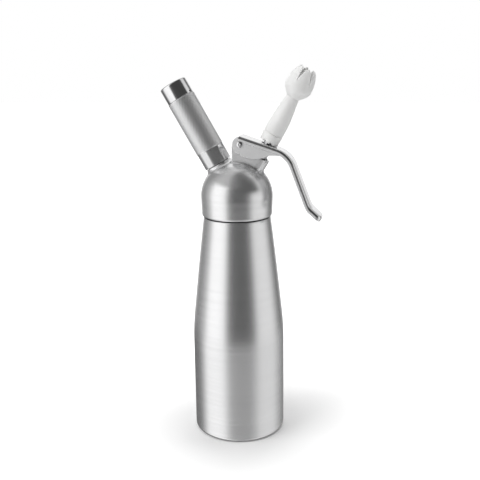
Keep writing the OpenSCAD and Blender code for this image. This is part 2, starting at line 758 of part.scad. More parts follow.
module spring_cap() {
    color([0.72, 0.73, 0.75]) on_valve() rotate_extrude() polygon([
        [stem_r + seat_gap, cap_p], [cap_r - stem_edge, cap_p], [cap_r, cap_p + stem_edge],
        [cap_r, cap_top - stem_edge], [cap_r - stem_edge, cap_top], [stem_r + seat_gap, cap_top]]);
}

// Depth of the fine threads' grooves
fine_thread_d = 0.5;

module tip_adapter() {
    count = floor((spigot_h - 1.2) / fine_pitch);
    spigot_edge = 0.4;
    notch = [2.2, 2.6, 1.2];
    color([0.94, 0.94, 0.92]) on_valve() difference() {
        rotate_extrude() polygon(concat(
            [[stem_r + seat_gap, adapter_p], [adapter_low_r, adapter_p],
             [adapter_top_r, adapter_top - 2 * spigot_edge],
             [adapter_top_r - fine_thread_d, adapter_top], [spigot_r - fine_thread_d, adapter_top]],
            grooves(spigot_r, adapter_top + fine_pitch * 0.4, fine_thread_d, fine_pitch, count),
            [[spigot_r, spigot_top - spigot_edge], [spigot_r - spigot_edge, spigot_top],
             [stem_r + seat_gap, spigot_top]]));
        for (i = [0 : adapter_notches - 1]) rotate(360 * (i + 0.5) / adapter_notches)
            translate([adapter_low_r - notch[0], -notch[1] / 2, adapter_p - over])
                cube([2 * notch[0], notch[1], notch[2] + over]);
    }
}

seal_shy = 0.3;

module tip_seal() {
    color([0.88, 0.88, 0.86]) on_valve(spigot_top + face_gap)
        ring(stem_r + seal_shy, spigot_r - seal_shy, tip_seal_t);
}

// Radius of the tip at height p: a straight base, a taper to the waist, then the tulip
function tip_r(p) =
    p <= taper_p ? tip_base_r :
    p <= waist_p ? tip_base_r + (tip_waist_r - tip_base_r) * pow((p - taper_p) / tip_taper_len, 1.5) :
    p <= bulge_p ? tip_waist_r + (tulip_r - tip_waist_r) * sin(90 * (p - waist_p) / tulip_low_len) :
    tulip_r - (tulip_r - mouth_tip_r) * pow((p - bulge_p) / tulip_top_len, 2.2);

module decorator_tip() {
    steps = 12;
    stem_way_r = stem_r + 0.2;
    web_h = 2;
    lip = 1.5;
    function stretch(from, to, inset) =
        [for (i = [0 : steps]) let (p = from + (to - from) * i / steps) [tip_r(p) - inset, p]];
    bore = [[0, tip_p - over], [spigot_r + thread_gap, tip_p - over],
        [spigot_r + thread_gap, ledge_p], [stem_way_r, ledge_p], [stem_way_r, taper_p + web_h],
        [tip_waist_r - tip_wall, waist_p - lip]];
    color([0.95, 0.95, 0.94]) on_valve() difference() {
        rotate_extrude() polygon(concat([[0, tip_p], [tip_base_r, tip_p]],
            stretch(taper_p, waist_p, 0), stretch(waist_p + eps, bulge_p, 0),
            stretch(bulge_p + eps, mouth_p, 0), [[0, mouth_p]]));
        rotate_extrude() polygon(concat(bore,
            stretch(waist_p + lip, bulge_p, tip_wall), stretch(bulge_p + eps, mouth_p, tip_wall),
            [[mouth_tip_r - tip_wall, mouth_p + over], [0, mouth_p + over]]));
        // Slots that open towards the mouth: half their outline, as shares of their width and length
        half = [[0.3, 0.45], [0.5, 0.17], [0.72, 0]];
        for (i = [0 : teeth - 1]) rotate(slot_turn + 360 * i / teeth)
            rotate([90, 0, 90]) linear_extrude(2 * tulip_r) polygon(concat(
                [[0, mouth_p - slot_len]],
                [for (h = half) [slot_w * h[0], mouth_p - slot_len * h[1]]],
                [[slot_w * 0.72, mouth_p + over], [-slot_w * 0.72, mouth_p + over]],
                [for (k = [2 : -1 : 0]) [-slot_w * half[k][0], mouth_p - slot_len * half[k][1]]]));
    }
}

module charger_stud() {
    count = floor((stud_h - 2) / fine_pitch);
    stud_edge = 0.6;
    thread_q = port_face + stud_edge + 0.2;
    color([0.7, 0.71, 0.73]) on_holder() difference() {
        rotate_extrude() polygon(concat(
            [[0, insert_q + face_gap], [stud_plug_r, insert_q + face_gap],
             [stud_plug_r, port_face + face_gap], [stud_r - fine_thread_d, port_face + face_gap]],
            grooves(stud_r, thread_q, fine_thread_d, fine_pitch, count),
            [[stud_r, stud_top_q - stud_edge], [stud_r - stud_edge, stud_top_q], [0, stud_top_q]]));
        translate([0, 0, recess_q]) cylinder(h = big, r = recess_r);
        translate([0, 0, insert_q - over]) cylinder(h = big, r = insert_r + seat_gap);
    }
}

// The piercing pin's point, and its gas passage: a hole along its middle between two cross holes
needle_top = charger_q + needle_in;
needle_hole_q = seal_top_q + 0.4;
needle_taper = 1.2;
needle_point_r = 0.35;
insert_low = insert_q - insert_tail_h;
insert_edge = 0.3;
insert_foot = 0.2;
passage_q = insert_low + 1.4;
passage_r = 0.5;
outlet_r = 0.4;

module piercing_pin() {
    color([0.66, 0.67, 0.69]) on_holder() difference() {
        rotate_extrude() polygon([[0, insert_low], [insert_tail_r, insert_low],
            [insert_tail_r, insert_q - insert_foot], [insert_r, insert_q + insert_foot],
            [insert_r, recess_q - insert_edge], [insert_r - insert_edge, recess_q],
            [needle_r, recess_q], [needle_r, needle_top - needle_taper],
            [needle_point_r, needle_top], [0, needle_top]]);
        translate([0, 0, passage_q]) cylinder(h = needle_hole_q - passage_q, r = passage_r);
        translate([0, 0, passage_q]) rotate([90, 0, 0])
            cylinder(h = 4 * insert_r, r = outlet_r, center = true);
        translate([0, 0, needle_hole_q]) rotate([0, 90, 0])
            cylinder(h = 4 * insert_r, r = needle_point_r, center = true);
    }
}

module inlet_seal() {
    color([0.85, 0.3, 0.2]) on_holder(recess_q + face_gap)
        ring(needle_r + thread_gap, recess_r - 1.5 * thread_gap, inlet_seal_t);
}

module check_valve_sleeve() {
    color([0.15, 0.15, 0.15]) on_holder(insert_low + insert_foot)
        ring(insert_tail_r + seat_gap, insert_r - insert_foot, insert_tail_h - 3 * insert_foot);
}

module gas_charger() {
    neck_edge = 0.6;
    hole_r = needle_r + 0.2;
    neck_end = charger_q + charger_neck_h;
    body_q = neck_end + charger_shoulder_h;
    color([0.82, 0.82, 0.83]) on_holder() difference() {
        rotate_extrude() polygon(concat(
            [[0, charger_q], [charger_neck_r - neck_edge, charger_q],
             [charger_neck_r, charger_q + neck_edge]],
            // The shoulder swells as half a cosine wave
            [for (i = [0 : 8]) [charger_neck_r + (charger_r - charger_neck_r)
                * (1 - cos(180 * i / 8)) / 2, neck_end + charger_shoulder_h * i / 8]],
            [for (i = [0 : 9]) [charger_r * cos(10 * i),
                charger_end_q - charger_r * (1 - sin(10 * i))]]));
        // Hollow inside, and open where the point has pierced its neck
        translate([0, 0, charger_q - over]) cylinder(h = charger_neck_h + 2 * over, r = hole_r);
        rotate_extrude() polygon(concat(
            [[0, neck_end - needle_r], [hole_r, neck_end - needle_r]],
            [for (i = [1 : 8]) [charger_neck_r + (charger_r - charger_neck_r)
                * (1 - cos(180 * i / 8)) / 2 - charger_wall, neck_end + charger_shoulder_h * i / 8]],
            [for (i = [0 : 9]) [(charger_r - charger_wall) * cos(10 * i),
                charger_end_q - charger_r + (charger_r - charger_wall) * sin(10 * i)]]));
    }
}

// Radius and depth of the sleeve's counterbore and of the cap's spigot in it, and the sleeve's edges
joint_r = charger_bore_r + 1.3;
joint_h = 6;
band_edge = 0.4;
grip_edge = 0.3;

module charger_holder() {
    color([0.72, 0.73, 0.74]) on_holder() difference() {
        rotate_extrude() polygon([[0, holder_q], [band_r - band_edge, holder_q],
            [band_r, holder_q + band_edge], [band_r, grip_q - 2 * band_edge], [grip_r, grip_q],
            [grip_r, cap_q - grip_edge], [grip_r - grip_edge, cap_q], [0, cap_q]]);
        translate([0, 0, holder_q - over]) cylinder(h = stud_h + over, r = stud_bore_r);
        translate([0, 0, holder_q]) cylinder(h = big, r = charger_bore_r);
        translate([0, 0, cap_q - joint_h]) cylinder(h = big, r = joint_r + seat_gap);
    }
}

module holder_cap() {
    dome_r1 = band_r - 2 * band_edge;
    dome_q = holder_top_q - end_dome;
    ball = dome_of(dome_r1, end_dome);
    color([0.82, 0.82, 0.83]) on_holder() difference() {
        union() {
            translate([0, 0, cap_q - joint_h + face_gap]) cylinder(h = joint_h, r = joint_r);
            rotate_extrude() polygon([[0, cap_q + face_gap], [band_r, cap_q + face_gap],
                [band_r, dome_q - 2 * band_edge], [band_r - 0.25, dome_q - 0.25],
                [dome_r1, dome_q], [0, dome_q]]);
            intersection() {
                translate([0, 0, holder_top_q - ball]) sphere(r = ball);
                translate([0, 0, dome_q - eps]) cylinder(h = end_dome + over, r = dome_r1);
            }
        }
        translate([0, 0, cap_q - joint_h - over])
            cylinder(h = charger_end_q - cap_q + joint_h + over - charger_r, r = charger_bore_r);
        translate([0, 0, charger_end_q - charger_r - eps]) sphere(r = charger_bore_r);
        translate([0, 0, cap_q + vent_r + grip_edge]) rotate([0, 90, vent_turn])
            cylinder(h = band_r + over, r = vent_r);
    }
}

bottle();
head_gasket();
head();
lever_pin();
pin_clip();
lever();
valve_stem();
stem_o_ring();
valve_seat_seal();
seal_retainer();
valve_bush();
valve_spring();
spring_cap();
tip_adapter();
tip_seal();
decorator_tip();
charger_stud();
piercing_pin();
inlet_seal();
check_valve_sleeve();
gas_charger();
charger_holder();
holder_cap();
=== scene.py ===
"""Whipped cream dispenser: the dressed model, its materials and its plain studio.

Lengths in the shape functions are millimetres in the CAD's frame, and become metres when a mesh is made.
"""
import math

import bmesh
import bpy
import numpy as np
from mathutils import Matrix, Vector


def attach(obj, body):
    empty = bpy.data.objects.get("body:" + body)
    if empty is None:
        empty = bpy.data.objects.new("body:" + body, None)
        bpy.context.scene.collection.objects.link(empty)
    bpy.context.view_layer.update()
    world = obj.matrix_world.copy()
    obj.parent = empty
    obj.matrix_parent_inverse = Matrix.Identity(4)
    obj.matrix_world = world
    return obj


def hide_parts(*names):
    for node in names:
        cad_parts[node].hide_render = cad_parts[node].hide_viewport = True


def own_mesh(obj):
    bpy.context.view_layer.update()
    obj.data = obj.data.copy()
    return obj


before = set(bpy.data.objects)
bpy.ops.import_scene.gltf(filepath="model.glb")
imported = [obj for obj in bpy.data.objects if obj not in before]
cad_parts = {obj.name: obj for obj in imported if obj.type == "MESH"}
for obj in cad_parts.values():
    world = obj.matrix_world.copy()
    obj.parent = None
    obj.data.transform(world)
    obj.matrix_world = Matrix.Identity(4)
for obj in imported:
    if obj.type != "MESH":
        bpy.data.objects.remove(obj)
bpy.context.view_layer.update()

# ---------------------------------------------------------------- sizes
# From the part's source or fitted to its solids. The knurl, the tip's wall and the vent are this
# script's own. _Z is a height on the bottle's axis, _P a place along the valve's and _Q along the
# holder's, and these two start level with the dome's centre.
BOTTLE_R, BOTTLE_H, SHOULDER_Z, BLEND_LEN = 39.0, 189.2, 93.0, 12.0
CONE_TOP_R, CONE_BOW = 28.1, 0.35
WALL, FLOOR_Z, HEEL_R, INNER_HEEL_R = 1.6, 3.0, 3.5, 4.0
GROOVE_IN_R, GROOVE_R, GROOVE_D = 24.2, 27.3, 0.6
MOUTH_R, NECK_R, RIM_Z, NECK_PITCH, NECK_THREAD_D = 22.0, 25.4, 202.5, 3.0, 0.6
THREAD_GAP, RUN_GAP, SEAT_GAP, FACE_GAP = 0.1, 0.05, 0.03, 0.05

DOME_Z, DOME_R = 206.2, 30.0
SKIRT_Z, SKIRT_R, SKIRT_CHAMFER = 190.1, 29.4, 1.1
CEILING_Z, HOLLOW_R, HOLLOW_H, HOLLOW_TOP_R = 205.0, 20.0, 11.8, 14.5
PIN_X, PIN_Z, PIN_R, PIN_HEAD_R, LUG_R = 4.86, 250.2, 2.0, 2.5, 4.4
YOKE_W, YOKE_BACK, YOKE_REAR_DROP, FILLET_R = 16.0, 2.3, 2.6, 2.4
VALVE_TILT, VALVE_X, BOSS_TOP = 28.75, 2.2, 37.7
CHAMBER_R, SEAT_P, POCKET_R, POCKET_P = 6.0, 14.0, 5.9, 26.0
HOLDER_TILT, PORT_R, PORT_FACE, PORT_ROOT = 29.9, 11.0, 30.6, 15.0
INLET_R, INLET_Q, PLUG_R, PLUG_H = 3.8, 25.0, 7.0, 10.0

LEVER_W, LEVER_T, LEVER_BEND_R, EYE_R, SIDE_DEPTH = 19.5, 1.5, 2.5, 6.3, 4.2
TOP_DEG, HANDLE_DEG, FLARE_DEG = 18.0, 69.0, 41.0
TOP_LEN, HANDLE_LEN, FLARE_LEN, TIP_CORNER_R = 40.7, 47.3, 13.1, 5.0
HANDLE_BEND_R, FLARE_BEND_R = 23.0, 9.0
SHEET_START = -2.5
STEM_SLOT_R, STEM_SLOT_NEAR, STEM_SLOT_FAR = 3.9, 18.9, 20.45
CHEEK_DROP, CHEEK_ARC_X, CHEEK_ARC_R, CHEEK_STEP = 11.9, 12.1, 24.5, 8.7
TOP_CUT = HANDLE_BEND_R * math.tan(math.radians(HANDLE_DEG - TOP_DEG) / 2)
FLARE_CUT = FLARE_BEND_R * math.tan(math.radians(HANDLE_DEG - FLARE_DEG) / 2)
TOP_RUN = TOP_LEN - TOP_CUT

STEM_R, STEM_BORE_R, STEM_LOW_R, STEM_FOOT_P, STEM_TOP_P = 3.5, 1.8, 2.3, 9.4, 66.15
SEAL_GROOVE_R, SEAL_GROOVE_P, SEAL_GROOVE_W = 2.6, 20.0, 1.3
SPRING_P, SPRING_TURNS, WIRE_R = 29.5, 6.5, 0.55
SPRING_CAP_TOP, SPRING_CAP_T, SPRING_CAP_R = 46.98, 2.2, 6.0
ADAPTER_P, ADAPTER_TOP, ADAPTER_LOW_R, ADAPTER_TOP_R = 51.75, 59.65, 7.9, 8.4
NOTCHES, NOTCH_HALF_W, NOTCH_D, NOTCH_IN_R = 8, 1.3, 1.2, 5.7
SPIGOT_TOP, SPIGOT_R, FINE_PITCH, FINE_THREAD_D = 65.05, 6.4, 1.5, 0.5
TIP_P, LEDGE_P, TAPER_P, WAIST_P, BULGE_P, MOUTH_P = 59.7, 66.55, 68.0, 92.2, 101.5, 117.7
TIP_BASE_R, TIP_WAIST_R, TULIP_R, TIP_MOUTH_R = 8.15, 5.3, 11.25, 6.6
TIP_BORE_R, TIP_THROAT_R, TIP_WALL = 3.7, 3.5, 1.3
TEETH, SLOT_LEN, SLOT_W, SLOT_TURN = 6, 11.5, 3.3, 195

HOLDER_Q, GRIP_Q, CAP_Q, CAP_END_Q = 31.0, 45.1, 92.1, 106.6
GRIP_R, BAND_R, CHARGER_BORE_R = 11.9, 11.7, 9.2
STUD_BORE_R, STUD_BORE_Q = 9.8, 44.4
KNURL_DEPTH, KNURL_COUNT, KNURL_LEAD = 0.22, 50, 2.5
JOINT_R, JOINT_H, END_DOME, CHARGER_END_Q = 10.5, 6.0, 0.9, 91.5
VENT_R, VENT_TURN = 0.85, 340


class Axis:
    """A straight axis of the object, along ez: its local point (x, y, h) is at
    origin + x ex + y ey + h ez, with ey at right angles to the other two."""

    def __init__(self, origin, ex, ez):
        self.o, self.ex, self.ez = (np.array(v, float) for v in (origin, ex, ez))
        self.ey = np.cross(self.ez, self.ex)

    def out(self, p):
        """Local points to the object's frame."""
        p = np.asarray(p, float)
        return self.o + p[..., :1] * self.ex + p[..., 1:2] * self.ey + p[..., 2:3] * self.ez

    def into(self, p):
        """Points of the object's frame to local ones, as three arrays."""
        d = p - self.o
        return d @ self.ex, d @ self.ey, d @ self.ez


def tilted(origin, degrees):
    """An axis that leans from straight up towards +X by these degrees."""
    c, s = math.cos(math.radians(degrees)), math.sin(math.radians(degrees))
    return Axis(origin, (c, 0, -s), (s, 0, c))


UPRIGHT = tilted((0, 0, 0), 0)
VALVE = tilted((VALVE_X, 0, DOME_Z), VALVE_TILT)
HOLDER = tilted((0, 0, DOME_Z), -HOLDER_TILT)


# ---------------------------------------------------------------- mesh helpers
def add_object(name, data):
    """A new object of the scene that holds this data."""
    obj = bpy.data.objects.new(name, data)
    bpy.context.scene.collection.objects.link(obj)
    return obj


def add_mesh(name, points, faces, sharp=34):
    """A mesh object from points in millimetres and a list of face index arrays, each of one size.
    Edges that bend more than sharp degrees stay crisp and all others are shaded smooth."""
    mesh = bpy.data.meshes.new(name)
    points = np.asarray(points, float).reshape(-1, 3) * 0.001
    loops = np.concatenate([np.asarray(f, np.int32).ravel() for f in faces])
    sizes = np.concatenate([np.full(len(f), np.asarray(f).shape[1], np.int32) for f in faces])
    starts = np.concatenate([[0], np.cumsum(sizes)[:-1]]).astype(np.int32)
    mesh.vertices.add(len(points))
    mesh.vertices.foreach_set("co", points.astype(np.float32).ravel())
    mesh.loops.add(len(loops))
    mesh.loops.foreach_set("vertex_index", loops)
    mesh.polygons.add(len(sizes))
    mesh.polygons.foreach_set("loop_start", starts)
    mesh.update(calc_edges=True)
    mesh.validate()
    shade(mesh, sharp)
    return add_object(name, mesh)


def shade(mesh, sharp=34):
    """Smooth shading, with edges that bend more than sharp degrees kept crisp."""
    mesh.shade_smooth()
    mesh.set_sharp_from_angle(angle=math.radians(sharp))


def face_outwards(obj):
    """Turns all faces of a closed mesh outwards."""
    bm = bmesh.new()
    bm.from_mesh(obj.data)
    bmesh.ops.recalc_face_normals(bm, faces=bm.faces)
    bm.to_mesh(obj.data)
    bm.free()
    return obj


def grid_faces(rows, cols, wrap_rows=False):
    """Quads of a rows by cols grid of points, whose columns join round, and its rows where asked."""
    i = np.arange(rows if wrap_rows else rows - 1)
    i, j = np.meshgrid(i, np.arange(cols), indexing="ij")
    i2, j2 = (i + 1) % rows, (j + 1) % cols
    return np.stack([i * cols + j, i * cols + j2, i2 * cols + j2, i2 * cols + j], -1).reshape(-1, 4)


def capped(name, rings, sharp=34):
    """A closed skin over a stack of rings of equally many points, with a flat face on each end. The
    borders of these two faces stay crisp."""
    rings = np.asarray(rings, float)
    rows, cols = rings.shape[:2]
    last = (rows - 1) * cols
    ends = [np.arange(cols)[::-1][None, :], (last + np.arange(cols))[None, :]]
    obj = face_outwards(add_mesh(name, rings, [grid_faces(rows, cols), *ends], sharp))
    edges = obj.data.edges
    pairs, crisp = np.zeros(2 * len(edges), np.int32), np.zeros(len(edges), bool)
    edges.foreach_get("vertices", pairs)
    edges.foreach_get("use_edge_sharp", crisp)
    low, high = pairs.reshape(-1, 2).min(1), pairs.reshape(-1, 2).max(1)
    edges.foreach_set("use_edge_sharp", crisp | (high < cols) | (low >= last))
    return obj


def skin(name, axis, angles, rows, sharp=34, poles=None):
    """A closed skin of rings round an axis: the point at angle a is (r cos a, r sin a, h). A row is
    a ring's radii and heights, where one number stands for a whole ring. The last ring joins the
    first, or both close in fans of triangles at the two heights of poles."""
    r, h = (np.array([np.broadcast_to(row[k], angles.shape) for row in rows]) for k in (0, 1))
    points = np.stack([r * np.cos(angles), r * np.sin(angles), h], -1).reshape(-1, 3)
    count, turns = r.shape
    faces = [grid_faces(count, turns, wrap_rows=poles is None)]
    if poles is not None:
        n, last, j = count * turns, (count - 1) * turns, np.arange(turns)
        points = np.vstack([points, [[0, 0, poles[0]], [0, 0, poles[1]]]])
        faces.append(np.stack([np.full(turns, n), (j + 1) % turns, j], -1))
        faces.append(np.stack([last + j, last + (j + 1) % turns, np.full(turns, n + 1)], -1))
    return add_mesh(name, axis.out(points), faces, sharp)


def revolve(name, profile, axis, turns=192):
    """Turns a closed outline of (radius, height) points about an axis, up outside and down inside.
    An outline that starts and ends on the axis is closed there."""
    prof = np.asarray(profile, float)
    angles = np.linspace(0, 2 * np.pi, turns, endpoint=False)
    if prof[0, 0] < 1e-6 and prof[-1, 0] < 1e-6:
        return skin(name, axis, angles, prof[1:-1], poles=(prof[0, 1], prof[-1, 1]))
    return skin(name, axis, angles, prof)


def parabola(start, corner, end, steps):
    """The parabola from start to end whose control point is corner: (1 - t)^2 start +
    2 t (1 - t) corner + t^2 end."""
    start, corner, end = (np.asarray(v, float) for v in (start, corner, end))
    t = np.linspace(0, 1, steps + 1)[:, None]
    return (1 - t) ** 2 * start + 2 * t * (1 - t) * corner + t ** 2 * end


def soften(points, radius, steps=4, closed=False):
    """Rounds each corner of a polyline: it is cut back by radius, at most 0.45 of either side,
    and filled with the parabola whose control point is the corner."""
    p = np.asarray(points, float)
    n = len(p)
    radius = np.broadcast_to(radius, n)
    out = []
    for k in range(n):
        if (not closed and k in (0, n - 1)) or radius[k] <= 0:
            out.append(p[k:k + 1])
            continue
        a, b = p[k - 1] - p[k], p[(k + 1) % n] - p[k]
        la, lb = np.linalg.norm(a), np.linalg.norm(b)
        cut = min(radius[k], 0.45 * la, 0.45 * lb)
        out.append(parabola(p[k] + a / la * cut, p[k], p[k] + b / lb * cut, steps))
    return np.vstack(out)


def arc(x, y, r, start, end, steps):
    """Points of a circle's arc from start to end degrees."""
    a = np.radians(np.linspace(start, end, steps + 1))
    return np.stack([x + r * np.cos(a), y + r * np.sin(a)], -1)


def applied(obj):
    """The object with its modifiers made part of its mesh."""
    bpy.context.view_layer.update()
    deps = bpy.context.evaluated_depsgraph_get()
    mesh = bpy.data.meshes.new_from_object(obj.evaluated_get(deps))
    obj.modifiers.clear()
    obj.data = mesh
    return obj


def cut_with(obj, tool):
    """Takes the tool's shape out of an object, and deletes the tool."""
    mod = obj.modifiers.new("cut", "BOOLEAN")
    mod.operation, mod.solver, mod.object = "DIFFERENCE", "EXACT", tool
    applied(obj)
    bpy.data.objects.remove(tool)
    shade(obj.data)


def dress(obj, body, nodes, material):
    """Gives a piece its body and its material, and hides the CAD nodes it stands for."""
    obj.data.materials.clear()
    obj.data.materials.append(material)
    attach(obj, body)
    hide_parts(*nodes)


# ---------------------------------------------------------------- node helpers
def feed(tree, node, inputs):
    """Feeds a node's inputs, by name or number: another node's output is linked, a value is set."""
    for key, value in inputs.items():
        if isinstance(value, bpy.types.NodeSocket):
            tree.links.new(value, node.inputs[key])
        else:
            node.inputs[key].default_value = value
    return node


def add_node(tree, kind, inputs=(), **settings):
    """A new shader node with its settings, and its inputs fed."""
    node = tree.nodes.new("ShaderNode" + kind)
    for key, value in settings.items():
        setattr(node, key, value)
    return feed(tree, node, dict(inputs))


def math_node(tree, operation, *values):
    """The result of a math node on links or numbers."""
    return add_node(tree, "Math", enumerate(values), operation=operation).outputs[0]


def split_xyz(tree, vector):
    """The three parts of a vector."""
    return add_node(tree, "SeparateXYZ", {0: vector}).outputs


def from_axis(tree, x, y):
    """The distance from an axis, the root of x^2 + y^2."""
    squares = math_node(tree, "ADD", math_node(tree, "MULTIPLY", x, x), math_node(tree, "MULTIPLY", y, y))
    return math_node(tree, "SQRT", squares)


def ranged(tree, value, start, end, low, high):
    """Value from start..end to low..high, held at both ends."""
    limits = {"From Min": start, "From Max": end, "To Min": low, "To Max": high}
    return add_node(tree, "MapRange", {"Value": value, **limits}).outputs["Result"]


def blend(tree, factor, low, high, way="MIX"):
    """Colour low where factor is 0 and high where it is 1. Each is a link or a colour."""
    inputs = {"Factor": factor, "A": low, "B": high}
    return add_node(tree, "Mix", inputs, data_type="RGBA", blend_type=way).outputs["Result"]


def two_tones(tree, colour, spread, factor, limit=1.0):
    """The colour, darker by spread where factor is 0 and lighter by as much where it is 1."""
    dark, light = ((*[min(c * share, limit) for c in colour], 1) for share in (1 - spread, 1 + spread))
    return blend(tree, factor, dark, light)


def relief(tree, height, strength, distance_mm):
    """The normal of a bump whose height is a link."""
    inputs = {"Strength": strength, "Distance": distance_mm * 0.001, "Height": height}
    return add_node(tree, "Bump", inputs).outputs[0]


def new_group(name, inputs, outputs):
    """An empty node group with inputs given as (name, kind, value) and outputs as (name, kind).
    Comes back with what its inputs give and the node that its outputs leave by."""
    group = bpy.data.node_groups.new(name, "ShaderNodeTree")
    for way, sockets in (("INPUT", inputs), ("OUTPUT", outputs)):
        for label, kind, *value in sockets:
            made = group.interface.new_socket(name=label, in_out=way, socket_type="NodeSocket" + kind)
            if value:
                made.default_value = value[0]
    return group, group.nodes.new("NodeGroupInput").outputs, group.nodes.new("NodeGroupOutput")


def placed(tree, group, **inputs):
    """The group in a material, with its inputs fed by name, and what it gives."""
    return add_node(tree, "Group", inputs, node_tree=group).outputs


def new_material(name):
    """A material, its node tree and its main shader."""
    m = bpy.data.materials.new(name)
    m.use_nodes = True
    return m, m.node_tree, m.node_tree.nodes["Principled BSDF"]


# ---------------------------------------------------------------- effects that materials share
def brushing_group():
    """Brush marks that run round an axis. The marks change with the height less the distance from
    the axis, so they stay rings on walls and on domes, and drift slowly round the axis. Height is
    the finest of three widths of mark and Tone is the mean of all three."""
    g, given, out = new_group("brush marks", [("Centred", "Vector"), ("Pitch", "Float", 2500.0)],
                              [("Height", "Float"), ("Tone", "Float")])
    x, y, z = split_xyz(g, given["Centred"])
    level = math_node(g, "SUBTRACT", z, from_axis(g, x, y))
    marks = []
    for share, drift in ((1.0, 16.0), (0.3, 9.0), (0.12, 6.0)):
        pitch = math_node(g, "MULTIPLY", given["Pitch"], share)
        place = add_node(g, "CombineXYZ", {0: math_node(g, "MULTIPLY", x, drift),
                                           1: math_node(g, "MULTIPLY", y, drift),
                                           2: math_node(g, "MULTIPLY", level, pitch)})
        noise = add_node(g, "TexNoise", {"Vector": place.outputs[0], "Scale": 1.0, "Detail": 2.0})
        marks.append(noise.outputs["Fac"])
    total = math_node(g, "ADD", math_node(g, "ADD", marks[0], marks[1]), marks[2])
    feed(g, out, {"Height": marks[0], "Tone": math_node(g, "MULTIPLY", total, 1 / 3)})
    return g


def painted_crevice_shade_group():
    """Painted shade: a colour made darker in gaps and inner corners narrower than Reach, all the
    way to Floor where less than an eighth of the sky above the surface is open."""
    inputs = [("Colour", "Color"), ("Reach", "Float", 0.003), ("Floor", "Float", 0.08)]
    g, given, out = new_group("painted crevice shade", inputs, [("Colour", "Color")])
    near = add_node(g, "AmbientOcclusion", {"Distance": given["Reach"]}, samples=8)
    shade_level = ranged(g, near.outputs["AO"], 0.12, 0.62, given["Floor"], 1.0)
    feed(g, out, {"Colour": blend(g, 1.0, given["Colour"], shade_level, "MULTIPLY")})
    return g


def cloud_group():
    """Faint clouds, as on tumbled metal or moulded plastic: Tone is 0 to 1, Dull spreads it to
    0.85 to 1.2 for the roughness."""
    g, given, out = new_group("faint clouds", [("Place", "Vector"), ("Scale", "Float", 260.0)],
                              [("Tone", "Float"), ("Dull", "Float")])
    noise = add_node(g, "TexNoise", {"Vector": given["Place"], "Scale": given["Scale"], "Detail": 3.0})
    tone = noise.outputs["Fac"]
    feed(g, out, {"Tone": tone, "Dull": ranged(g, tone, 0.3, 0.7, 0.85, 1.2)})
    return g


BRUSHING, PAINTED_CREVICE_SHADE, CLOUDS = brushing_group(), painted_crevice_shade_group(), cloud_group()


# ---------------------------------------------------------------- materials
def turned_metal(name, axis, colour, rough, grain, anisotropy, pitch, tone=0.04, metallic=1.0,
                 other=None, crest=None):
    """Metal turned or brushed round an axis: fine ring marks in its height, tone and roughness,
    and highlights drawn out along the axis. Where the mask of other, a function of the node tree,
    the normal and the place from the axis, is 1, the metal has the roughness it gives. With crest,
    a radius in millimetres, the valleys of a knurl below it are painted darker and its crests
    lighter: painted shade and painted light."""
    m, tree, shader = new_material(name)
    coord = add_node(tree, "TexCoord").outputs
    lean = math.atan2(axis.ez[0], axis.ez[2])
    centred = add_node(tree, "Mapping", {"Vector": coord["Object"], "Location": axis.o * 0.001,
                                         "Rotation": (0, lean, 0)}, vector_type="TEXTURE").outputs["Vector"]
    marks = placed(tree, BRUSHING, Centred=centred, Pitch=pitch)
    if other:
        mask, other_rough = other(tree, coord["Normal"], centred)
        rough = ranged(tree, mask, 0, 1, rough, other_rough)
    dull = math_node(tree, "MULTIPLY", ranged(tree, marks["Tone"], 0.3, 0.7, 0.93, 1.07), rough)
    mark = ranged(tree, marks["Tone"], 0.40, 0.60, 0, 1)
    # Painted shade and light: with crest, the knurl's valleys are painted darker and its crests lighter.
    if crest:
        x, y, _ = split_xyz(tree, centred)
        mark = ranged(tree, from_axis(tree, x, y), (crest - KNURL_DEPTH) * 0.001, crest * 0.001, 0, 1)
    tint = two_tones(tree, colour, tone, mark, 0.97)
    cross = add_node(tree, "VectorMath", {0: axis.ez, 1: coord["Normal"]}, operation="CROSS_PRODUCT")
    tangent = add_node(tree, "VectorTransform", {0: cross.outputs[0]}, vector_type="VECTOR",
                       convert_from="OBJECT", convert_to="WORLD")
    # The base colour carries painted shade in crevices.
    feed(tree, shader, {"Base Color": placed(tree, PAINTED_CREVICE_SHADE, Colour=tint)["Colour"], "Roughness": dull,
                        "Metallic": metallic, "Anisotropic": anisotropy, "Tangent": tangent.outputs[0]})
    if grain:
        feed(tree, shader, {"Normal": relief(tree, marks["Height"], grain, 0.02)})
    return m


def plain_metal(name, colour, rough, satin_sides=False):
    """Polished or tumbled metal with faint cloudy tone and roughness. With satin_sides, the faces
    that look along Y are as the press left them: satin, and duller than the polished edges."""
    m, tree, shader = new_material(name)
    coord = add_node(tree, "TexCoord").outputs
    clouds = placed(tree, CLOUDS, Place=coord["Object"])
    dull, metallic = math_node(tree, "MULTIPLY", clouds["Dull"], rough), 1.0
    if satin_sides:
        side = math_node(tree, "ABSOLUTE", split_xyz(tree, coord["Normal"])[1])
        metallic = ranged(tree, side, 0.972, 0.997, 1.0, 0.6)
        dull = math_node(tree, "ADD", dull, ranged(tree, side, 0.972, 0.997, 0.0, 0.24))
    tint = two_tones(tree, colour, 0.03, clouds["Tone"])
    # The base colour carries painted shade in crevices.
    feed(tree, shader, {"Base Color": placed(tree, PAINTED_CREVICE_SHADE, Colour=tint)["Colour"], "Roughness": dull,
                        "Metallic": metallic})
    return m


